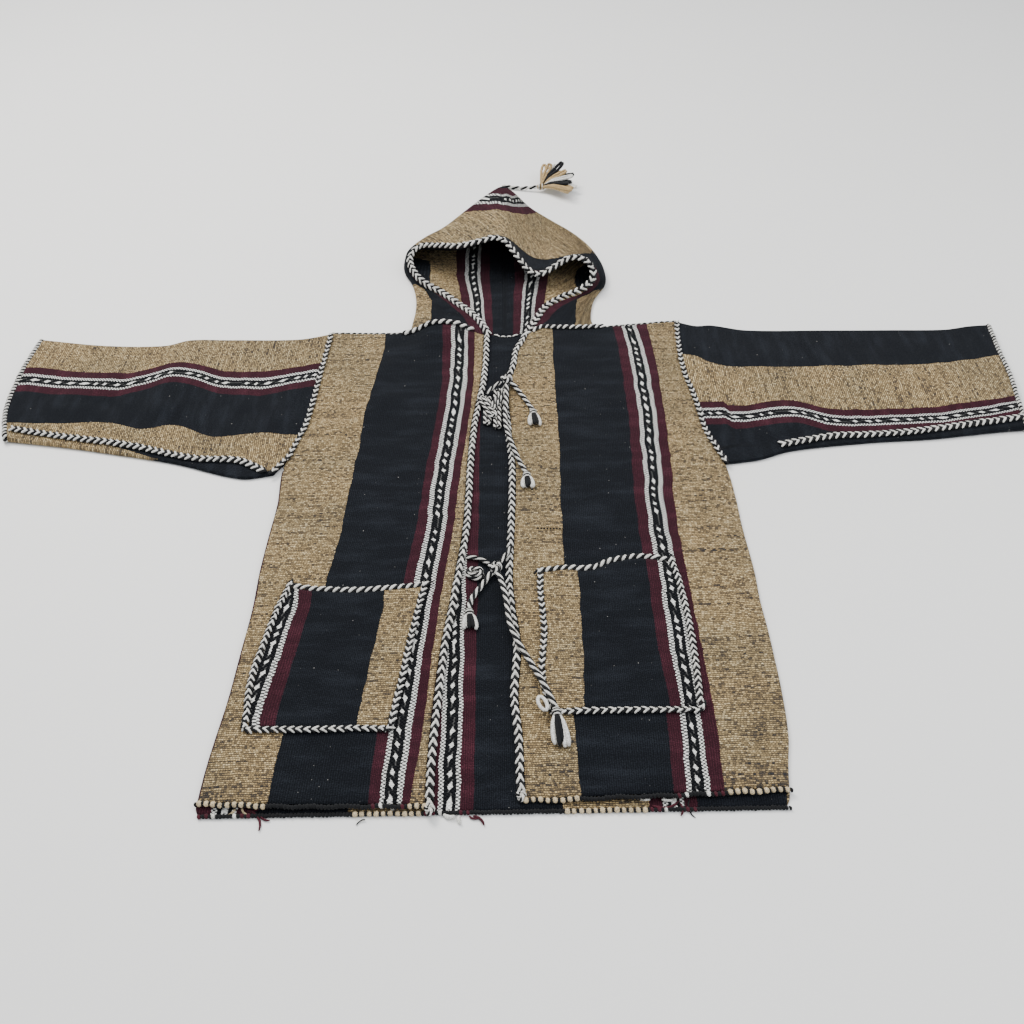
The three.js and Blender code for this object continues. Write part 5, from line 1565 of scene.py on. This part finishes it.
def front_hem(half):
    path = [body_point("front", half, u, 0)[0] + Vector((0, 0.8 * math.sin(1.7 * k) - 0.8 - HEM_DROP, 0.4))
            for k, u in enumerate(shares(EDGE_STEPS))]
    yarns = Yarns()
    whip(yarns, path, level, (5.4, 4.6), 81 + half["sign"], pitch=7.4, slant=0.3,
         tints=hem_tints(lambda p: front_stripe(half, p.x, half["hem"])))
    loose_ends(yarns, LOOSE_ENDS[half["name"]])
    return yarns.piece("overcast_hem", "hem_cord", "hem_yarn", half)


def back_hem():
    xs = spaced(side_x(RIGHT, 0) + 4, side_x(LEFT, 0) - 4, 12)
    path = [Vector((x, BACK_HEM - HEM_DROP, 2.1)) for x in xs]
    yarns = Yarns()
    whip(yarns, path, level, (5.2, 4.2), 91, pitch=7.2, slant=0.3, tints=hem_tints(lambda p: back_stripe(p.x, 0)))
    loose_ends(yarns, LOOSE_ENDS["back"])
    return yarns.piece("overcast_hem_back", "hem_cord_back", "hem_yarn")


def edge_knot(half, centre, seed):
    yarns = Yarns()
    twist(yarns, knot_path(centre, 12.5, 16, 8), 4.4, seed, closed=True, pitch=9,
          tints=(WHITE_YARN, WHITE_YARN, BLACK_YARN))
    yarns.strand([Vector(centre) + Vector((0, y, 0)) for y in (-3, 3)], 2.6, WHITE_YARN, sides=8)
    return yarns.piece("front_end_knot", "edge_knot", half=half)


for half in (RIGHT, LEFT):
    for make in (pocket_braid, front_braid, neck_braid, shoulder_braid, armhole_braid, sleeve_seam, cuff_braid,
                 front_hem):
        make(half)
back_hem()
edge_knot(RIGHT, (braid_x(RIGHT, 0), -7.8, 9), 3)
edge_knot(LEFT, (braid_x(LEFT, 0), 7.2, 6.6), 4)

# ---- floor, light ----
mesh = bpy.data.meshes.new("pale_floor")
mesh.from_pydata([(x, y, 0) for x, y in ((-6, -4), (6, -4), (6, 8), (-6, 8))], [], [(0, 1, 2, 3)])
floor = linked("pale_floor", mesh)
floor.location.z = -0.0002      # clear of the cloth
mesh.materials.append(floor_material())

world = bpy.data.worlds.new("soft_room")
bpy.context.scene.world = world
world.use_nodes = True
sky = world.node_tree.nodes["Background"].inputs
sky["Color"].default_value = (0.86, 0.90, 0.96, 1)
sky["Strength"].default_value = 0.80


LIT = Vector((0, 0.1, 0))     # where the lights point


def area_light(name, position, size, power, colour):
    data = bpy.data.lights.new(name, "AREA")
    data.shape = "RECTANGLE"
    data.size, data.size_y = size
    data.energy = power
    data.color = colour
    obj = linked(name, data)
    obj.location = position
    obj.rotation_euler = (LIT - Vector(position)).to_track_quat("-Z", "Y").to_euler()


area_light("key", (-1.3, 1.6, 2.4), (1.5, 1.1), 98, (1.0, 0.975, 0.94))
area_light("fill", (1.9, -0.7, 2.0), (1.8, 1.6), 34, (0.95, 0.97, 1.0))
area_light("top", (0.1, 0.2, 2.9), (2.4, 2.0), 38, (1.0, 0.99, 0.97))
